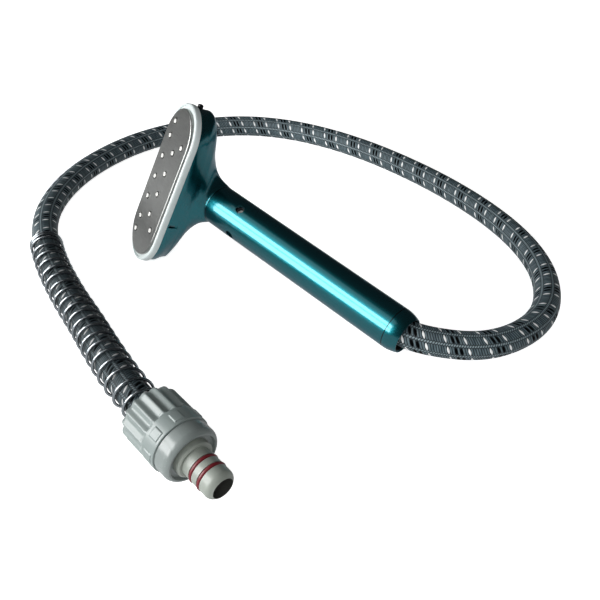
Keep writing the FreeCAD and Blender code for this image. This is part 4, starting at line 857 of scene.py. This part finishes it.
zinc_screw = moulded_plastic("zinc_plated_screw", "#E4E2E0", 0.28, metallic=0.2)
bright_steel = metal("stainless_steel_tumbled", "#D3D5D6", 0.26)
spring_wire = metal("spring_wire_bright_drawn", "#969CA0", 0.18)
turned_brass = metal("brass_turned", "#C9A45C", 0.25)
soft_aluminium = metal("aluminium_crimped", "#C4C7CA", 0.32)

# %% [markdown]
# The face plate is sheet steel, brushed across its length before it is cut. The brush leaves streaks
# about 5.6 mm long and 0.4 mm apart, with small changes of tone and polish from one to the next.


# %% Brushed plate, in millimetres
# A metre holds 180 streaks end to end, or 2600 side by side.
STREAK_LENGTH = 1000 / 180
STREAK_WIDTH = 1000 / 2600


def brushed_steel(name):
    """Noise squeezed to the streaks' length and width, which sets the tone and the polish."""
    material, tree, shader = new_material(name)
    place = add(tree, "TexCoord")
    lengthwise, crosswise = 1 / (STREAK_LENGTH * MM), 1 / (STREAK_WIDTH * MM)
    squeeze = add(tree, "Mapping", {
        "Vector": place.outputs["Object"], "Scale": (lengthwise, lengthwise, crosswise),
    })
    streaks = add(tree, "TexNoise", {"Vector": squeeze, "Scale": 1.0, "Detail": 4.0})
    tone = add(tree, "Mix", {
        "Factor": streaks, 6: colour("#7A7B79"), 7: colour("#A9AAA8"),
    }, data_type="RGBA")
    polish = add(tree, "MapRange", {"Value": streaks, "To Min": 0.26, "To Max": 0.42})
    feed(tree, shader, {"Base Color": tone, "Metallic": 1.0, "Roughness": polish})
    return material


plate_steel = brushed_steel("stainless_plate_brushed")

# %% [markdown]
# ### Teal metallic lacquer
# The shell and handle are moulded plastic, sprayed with a metallic base coat and a clear coat. The
# flakes make the reflection itself teal, so a bright soft box shows as cyan and a dark room as nearly
# black, while the clear coat adds a thin white gloss on top.


# %% Lacquer, in millimetres
FLAKE_SIZE = 0.25
PEEL_LENGTH = 25.0
PEEL_RELIEF = 0.04


def metallic_lacquer(name, tint):
    """Tinted metal flakes under a clear coat, with a slow waviness from the spraying."""
    material, tree, shader = new_material(name)
    place = add(tree, "TexCoord").outputs["Object"]
    flakes, flow = (
        add(tree, "TexNoise", {"Vector": place, "Scale": 1 / (size * MM), "Detail": 1.0})
        for size in (FLAKE_SIZE, PEEL_LENGTH)
    )
    sheen = add(tree, "MapRange", {"Value": flakes, "To Min": 0.24, "To Max": 0.32})
    peel = add(tree, "Bump", {"Height": flow, "Strength": 0.2, "Distance": PEEL_RELIEF * MM})
    feed(tree, shader, {
        "Base Color": colour(tint), "Specular Tint": colour("#6FA9B4"), "Metallic": 1.0,
        "Coat Weight": 0.8, "Coat Roughness": 0.08, "Roughness": sheen, "Normal": peel,
    })
    return material


teal_lacquer = metallic_lacquer("metallic_lacquer_teal", "#166871")

# %% [markdown]
# Where the end cap meets the sleeve, and where the sleeve meets the shell, a fine dark line is painted
# all round: painted shade in the narrow gap between the parts.

# %% Painted seam shade, in millimetres
CAP_SEAM = 10.8
SEAM_SHADE_HALF_WIDTH = 0.3


def distance_from_seams(tree):
    """The distance along the handle from the nearer of the cap's and the neck's seams."""
    inputs = {0: place_from(tree, tail_end), 1: tuple(handle_axis)}
    station = add(tree, "VectorMath", inputs, operation="DOT_PRODUCT")
    gaps = {}
    for number, seam_station in enumerate((CAP_SEAM, NECK_STATION)):
        off = add(tree, "Math", {0: station, 1: seam_station * MM}, operation="SUBTRACT")
        gaps[number] = add(tree, "Math", {0: off}, operation="ABSOLUTE")
    return add(tree, "Math", gaps, operation="MINIMUM")


# The dark line at the two seams is painted shade of the gap between the parts.
second_colour(teal_lacquer, distance_from_seams, SEAM_SHADE_HALF_WIDTH, "#02090B")

# %% [markdown]
# ### Braided yarn
# Sixteen strips of yarn run along the hose: eight wider ones that carry the marker yarns, and between
# them eight narrow ones whose ribs lean the other way, as the two directions of a braid do. White
# yarns come every 13.6 mm, with a pair of black ones in every second gap. The pattern winds once round
# the hose in two of these steps, so it meets itself at the tube's seam. The valleys between the ribs
# and the grooves beside the strips are painted dark, as painted shade. Under the coil the yarn is
# painted darker, as painted shade of the coil. In the wide bend the braid is drawn out by about
# 5 percent, so its marks stand further apart.

# %% Braid sizes, in millimetres
STRIPS = 8
STRIP_PITCH = 2 * math.pi * HOSE_RADIUS / STRIPS
MARK_PITCH = 13.6
RIB_PITCH = MARK_PITCH / 8
RIB_LEAN = 0.38
MARK_CURVE = 0.11
PATTERN_TURN = 0.29
BRAID_RELIEF = 0.35
DYE_PATCH = 20 / 7

# Half widths of the wide strips and of the marks, how soft their edges are, and the groove beside a
# strip.
MARKED_HALF = 2.95
STRIP_EDGE = 0.15
WHITE_HALF = 0.8
BLACK_HALF = 1.0
MARK_EDGE = 0.12
GROOVE_WIDTH = 0.55

# Where the coil begins to cover the yarn, and how much painted shade darkens it there.
COVERED_SPAN = (coil_end - COIL_LENGTH, coil_end - COIL_LENGTH + 2.0)
COVERED_SHADE = 0.5

# From where to where the braid is drawn out, by how many marks in all, and how it eases off.
DRAWN_SPAN = (95.0, 520.0)
DRAWN_MARKS = 1.72
DRAWN_CURVE = 1.2


# %% Strips, ribs and marks
def strip(tree, turn_share, drawn, shift, lean):
    """The distance x from the nearest strip's middle, and w = v + winding + lean x along it."""
    count = add(tree, "Math", {0: turn_share, 1: shift}, operation="ADD")
    index = add(tree, "Math", {0: count}, operation="FLOOR")
    part = add(tree, "Math", {0: count, 1: index}, operation="SUBTRACT")
    middle = add(tree, "Math", {0: part, 1: 0.5}, operation="SUBTRACT")
    across = add(tree, "Math", {0: middle, 1: STRIP_PITCH}, operation="MULTIPLY")
    wound = add(tree, "Math", {0: index, 1: 2 * MARK_PITCH / STRIPS, 2: drawn}, operation="MULTIPLY_ADD")
    return across, add(tree, "Math", {0: across, 1: lean, 2: wound}, operation="MULTIPLY_ADD")


def rib(tree, along):
    """The height of the ribs, 0.5 + 0.5 cos(2 pi w / pitch)."""
    angle = add(tree, "Math", {0: along, 1: 2 * math.pi / RIB_PITCH}, operation="MULTIPLY")
    wave = add(tree, "Math", {0: angle}, operation="COSINE")
    return add(tree, "Math", {0: wave, 1: 0.5, 2: 0.5}, operation="MULTIPLY_ADD")


def mark(tree, across, along, period, place, half):
    """1 on a yarn at a place of each period, where |w - place| + curve x x is under its half width."""
    periods = add(tree, "Math", {0: along, 1: period}, operation="DIVIDE")
    turned = add(tree, "Math", {0: periods, 1: 0.5 - place}, operation="ADD")
    part = add(tree, "Math", {0: turned}, operation="FRACT")
    middle = add(tree, "Math", {0: part, 1: 0.5}, operation="SUBTRACT")
    share = add(tree, "Math", {0: middle}, operation="ABSOLUTE")
    off = add(tree, "Math", {0: share, 1: period}, operation="MULTIPLY")
    square = add(tree, "Math", {0: across, 1: across}, operation="MULTIPLY")
    lens = add(tree, "Math", {0: square, 1: MARK_CURVE, 2: off}, operation="MULTIPLY_ADD")
    return add(tree, "MapRange", {
        "Value": lens, "From Min": half + MARK_EDGE, "From Max": half - MARK_EDGE,
    })


# %% Braid
def braid(name):
    """Yarn from the tube's UV, u once round and v in millimetres along: ribs, grooves and marks."""
    material, tree, shader = new_material(name)
    place = add(tree, "UVMap", uv_map="along")
    parts = add(tree, "SeparateXYZ", {"Vector": place})
    reach = parts.outputs["Y"]

    # The place along, drawn out in the wide bend, and the two sets of strips.
    ahead = add(tree, "MapRange", {
        "Value": reach, "From Min": DRAWN_SPAN[1], "From Max": DRAWN_SPAN[0],
    })
    drawn_out = add(tree, "Math", {0: ahead, 1: DRAWN_CURVE}, operation="POWER")
    stretch = {0: drawn_out, 1: DRAWN_MARKS * MARK_PITCH, 2: reach}
    drawn = add(tree, "Math", stretch, operation="MULTIPLY_ADD")
    turning = {0: parts.outputs["X"], 1: float(STRIPS), 2: PATTERN_TURN}
    turn_share = add(tree, "Math", turning, operation="MULTIPLY_ADD")
    across, along = strip(tree, turn_share, drawn, 0.0, RIB_LEAN)
    between_along = strip(tree, turn_share, drawn, 0.5, -RIB_LEAN)[1]

    # Ribs of the wide strips where they lie, those of the narrow ones elsewhere, a groove between.
    distance = add(tree, "Math", {0: across}, operation="ABSOLUTE")
    marked = add(tree, "MapRange", {
        "Value": distance, "From Min": MARKED_HALF + STRIP_EDGE, "From Max": MARKED_HALF - STRIP_EDGE,
    })
    unmarked = add(tree, "Math", {0: 1.0, 1: marked}, operation="SUBTRACT")
    wide = add(tree, "Math", {0: rib(tree, along), 1: marked}, operation="MULTIPLY")
    narrow = add(tree, "Math", {0: rib(tree, between_along), 1: unmarked}, operation="MULTIPLY")
    ribs = add(tree, "Math", {0: wide, 1: narrow}, operation="ADD")
    crest_shade = add(tree, "Math", {0: ribs, 1: 0.7}, operation="POWER")
    beyond = add(tree, "Math", {0: distance, 1: MARKED_HALF}, operation="SUBTRACT")
    edge = add(tree, "Math", {0: beyond}, operation="ABSOLUTE")
    groove_relief_and_shade = add(tree, "MapRange", {"Value": edge, "From Max": GROOVE_WIDTH})
    shallow = add(tree, "Math", {0: groove_relief_and_shade, 1: 0.8, 2: 0.2}, operation="MULTIPLY_ADD")
    height = add(tree, "Math", {0: ribs, 1: shallow}, operation="MULTIPLY")
    relief = add(tree, "Bump", {"Height": height, "Strength": 0.8, "Distance": BRAID_RELIEF * MM})

    # The uneven dye, the marker yarns, and the painted shade under the coil.
    patch = add(tree, "TexNoise", {"Vector": place, "Scale": 1 / DYE_PATCH, "Detail": 1.0})
    dye = add(tree, "MapRange", {"Value": patch, "From Min": 0.35, "From Max": 0.65})
    period = 2 * MARK_PITCH
    places = (-RIB_PITCH / period, RIB_PITCH / period)
    before, after = (mark(tree, across, along, period, at, BLACK_HALF) for at in places)
    black = add(tree, "Math", {0: before, 1: after}, operation="MAXIMUM")
    white = mark(tree, across, along, MARK_PITCH, 0.5, WHITE_HALF)
    covered = add(tree, "MapRange", {
        "Value": reach, "From Min": COVERED_SPAN[0], "From Max": COVERED_SPAN[1],
    })
    coil_shade = add(tree, "Math", {0: covered, 1: COVERED_SHADE}, operation="MULTIPLY")

    # Each colour of the first row shows where its share is 0, and each of the second where it is 1.
    # The near-black in the rib valleys and the dark in the grooves beside the strips are painted shade; the groove
    # also sets relief.
    yarn = colour("#6B7C82")
    for share, first in ((dye, "#4E5F66"), (marked, "#8B9CA2"), (crest_shade, "#0E1518"), (groove_relief_and_shade, "#1A2023")):
        yarn = add(tree, "Mix", {"Factor": share, 6: colour(first), 7: yarn}, data_type="RGBA")
    for share, second in ((black, "#010203"), (white, "#F4F6F6"), (coil_shade, "#0B1113")):
        yarn = add(tree, "Mix", {"Factor": share, 6: yarn, 7: colour(second)}, data_type="RGBA")
    dulled = add(tree, "Math", {0: black, 1: -0.2, 2: 0.22}, operation="MULTIPLY_ADD")
    feed(tree, shader, {
        "Base Color": yarn, "Roughness": 0.5, "Specular IOR Level": dulled, "Normal": relief,
    })
    return material


braid_yarn = braid("polyester_braid_grey")

# %% [markdown]
# ## Dressing the solids
# Each solid that keeps its own shape gets the finish that its real part has.

# %% Finishes of the solids
FINISHES = {
    teal_lacquer: ["handle_sleeve", "end_cap"],
    plate_steel: ["face_plate"],
    pip_silicone: ["nozzle_mat"],
    collar_abs: ["lock_collar"],
    spigot_pom: ["spigot"],
    ring_rubber: ["spigot_o_rings"],
    black_rubber: ["hose_gland", "hose_liner", "inlet_seal", "barb_seal"],
    zinc_screw: ["neck_screws", "chamber_screws"],
    bright_steel: ["retaining_clip", "spring_cup"],
    core_nylon: ["neck_core", "catch_stud"],
    inner_abs: ["water_chamber", "flow_spreader", "inlet_pipe", "pipe_bracket"],
    turned_brass: ["tail_barb"],
    soft_aluminium: ["tail_ferrule", "connector_ferrule"],
}
for finish, names in FINISHES.items():
    dress(finish, *[nodes[name] for name in names])
dress(teal_lacquer, shell_skin)
dress(rim_tpe, rim_skin)
dress(nut_abs, nut_skin)
dress(braid_yarn, hose_cover)
dress(spring_wire, coil)

# %% [markdown]
# ## Riding and standing in
# Five smooth surfaces stand in for their plain solids. The rim, the shell, the hose cover and the coil
# move with the sprayer's body, and the nut's skin turns with the nut.

# %% Bodies
for piece, body, node, slot in (
    (rim_skin, "sprayer", "rim_bumper", "rim_polymer"),
    (shell_skin, "sprayer", "head_shell", "teal_shell"),
    (nut_skin, "turning_nut", "lock_nut", "nut_polymer"),
    (hose_cover, "sprayer", "hose_braid", "hose_braid"),
    (coil, "sprayer", "strain_spring", "spring_chrome"),
):
    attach(piece, body)
    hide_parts(node)
    print(piece.name, "stands in for", node, "on", body)

carried = ["spring_cup", "connector_ferrule", "lock_collar", "retaining_clip", "spigot"]
carried += ["spigot_o_rings", "hose_liner"]

# %% [markdown]
# ## The floor
# Catalogue pictures are often taken on a sheet of white acrylic with a lamp under it, which keeps the
# ground white and the shadows faint. The glow itself would also light the object from below, so it is
# seen only by the camera, and the object sees a plain grey card that lies just under the sheet.


# %% Floor, in metres
def ground(name, half_size, height, tint, glow):
    """A level square: a matt surface of one colour, with a glow of its own."""
    mesh = bpy.data.meshes.new(name)
    corners = [(-1, -1), (1, -1), (1, 1), (-1, 1)]
    mesh.from_pydata([(x * half_size, y * half_size, height) for x, y in corners], [], [(0, 1, 2, 3)])
    item = bpy.data.objects.new(name, mesh)
    bpy.context.scene.collection.objects.link(item)
    material, tree, shader = new_material(name + "_matt")
    feed(tree, shader, {
        "Base Color": colour(tint), "Roughness": 0.9, "Specular IOR Level": 0.1,
        "Emission Color": (1.0, 1.0, 1.0, 1.0), "Emission Strength": glow,
    })
    dress(material, item)
    return item


floor = ground("floor", 6.0, 0.0, "#F0F0F0", 0.88)
floor.visible_diffuse = False
floor.visible_glossy = False
floor.visible_shadow = False
card = ground("under_card", 0.75, -0.0005, "#C4C6C8", 0.30)
card.visible_camera = False
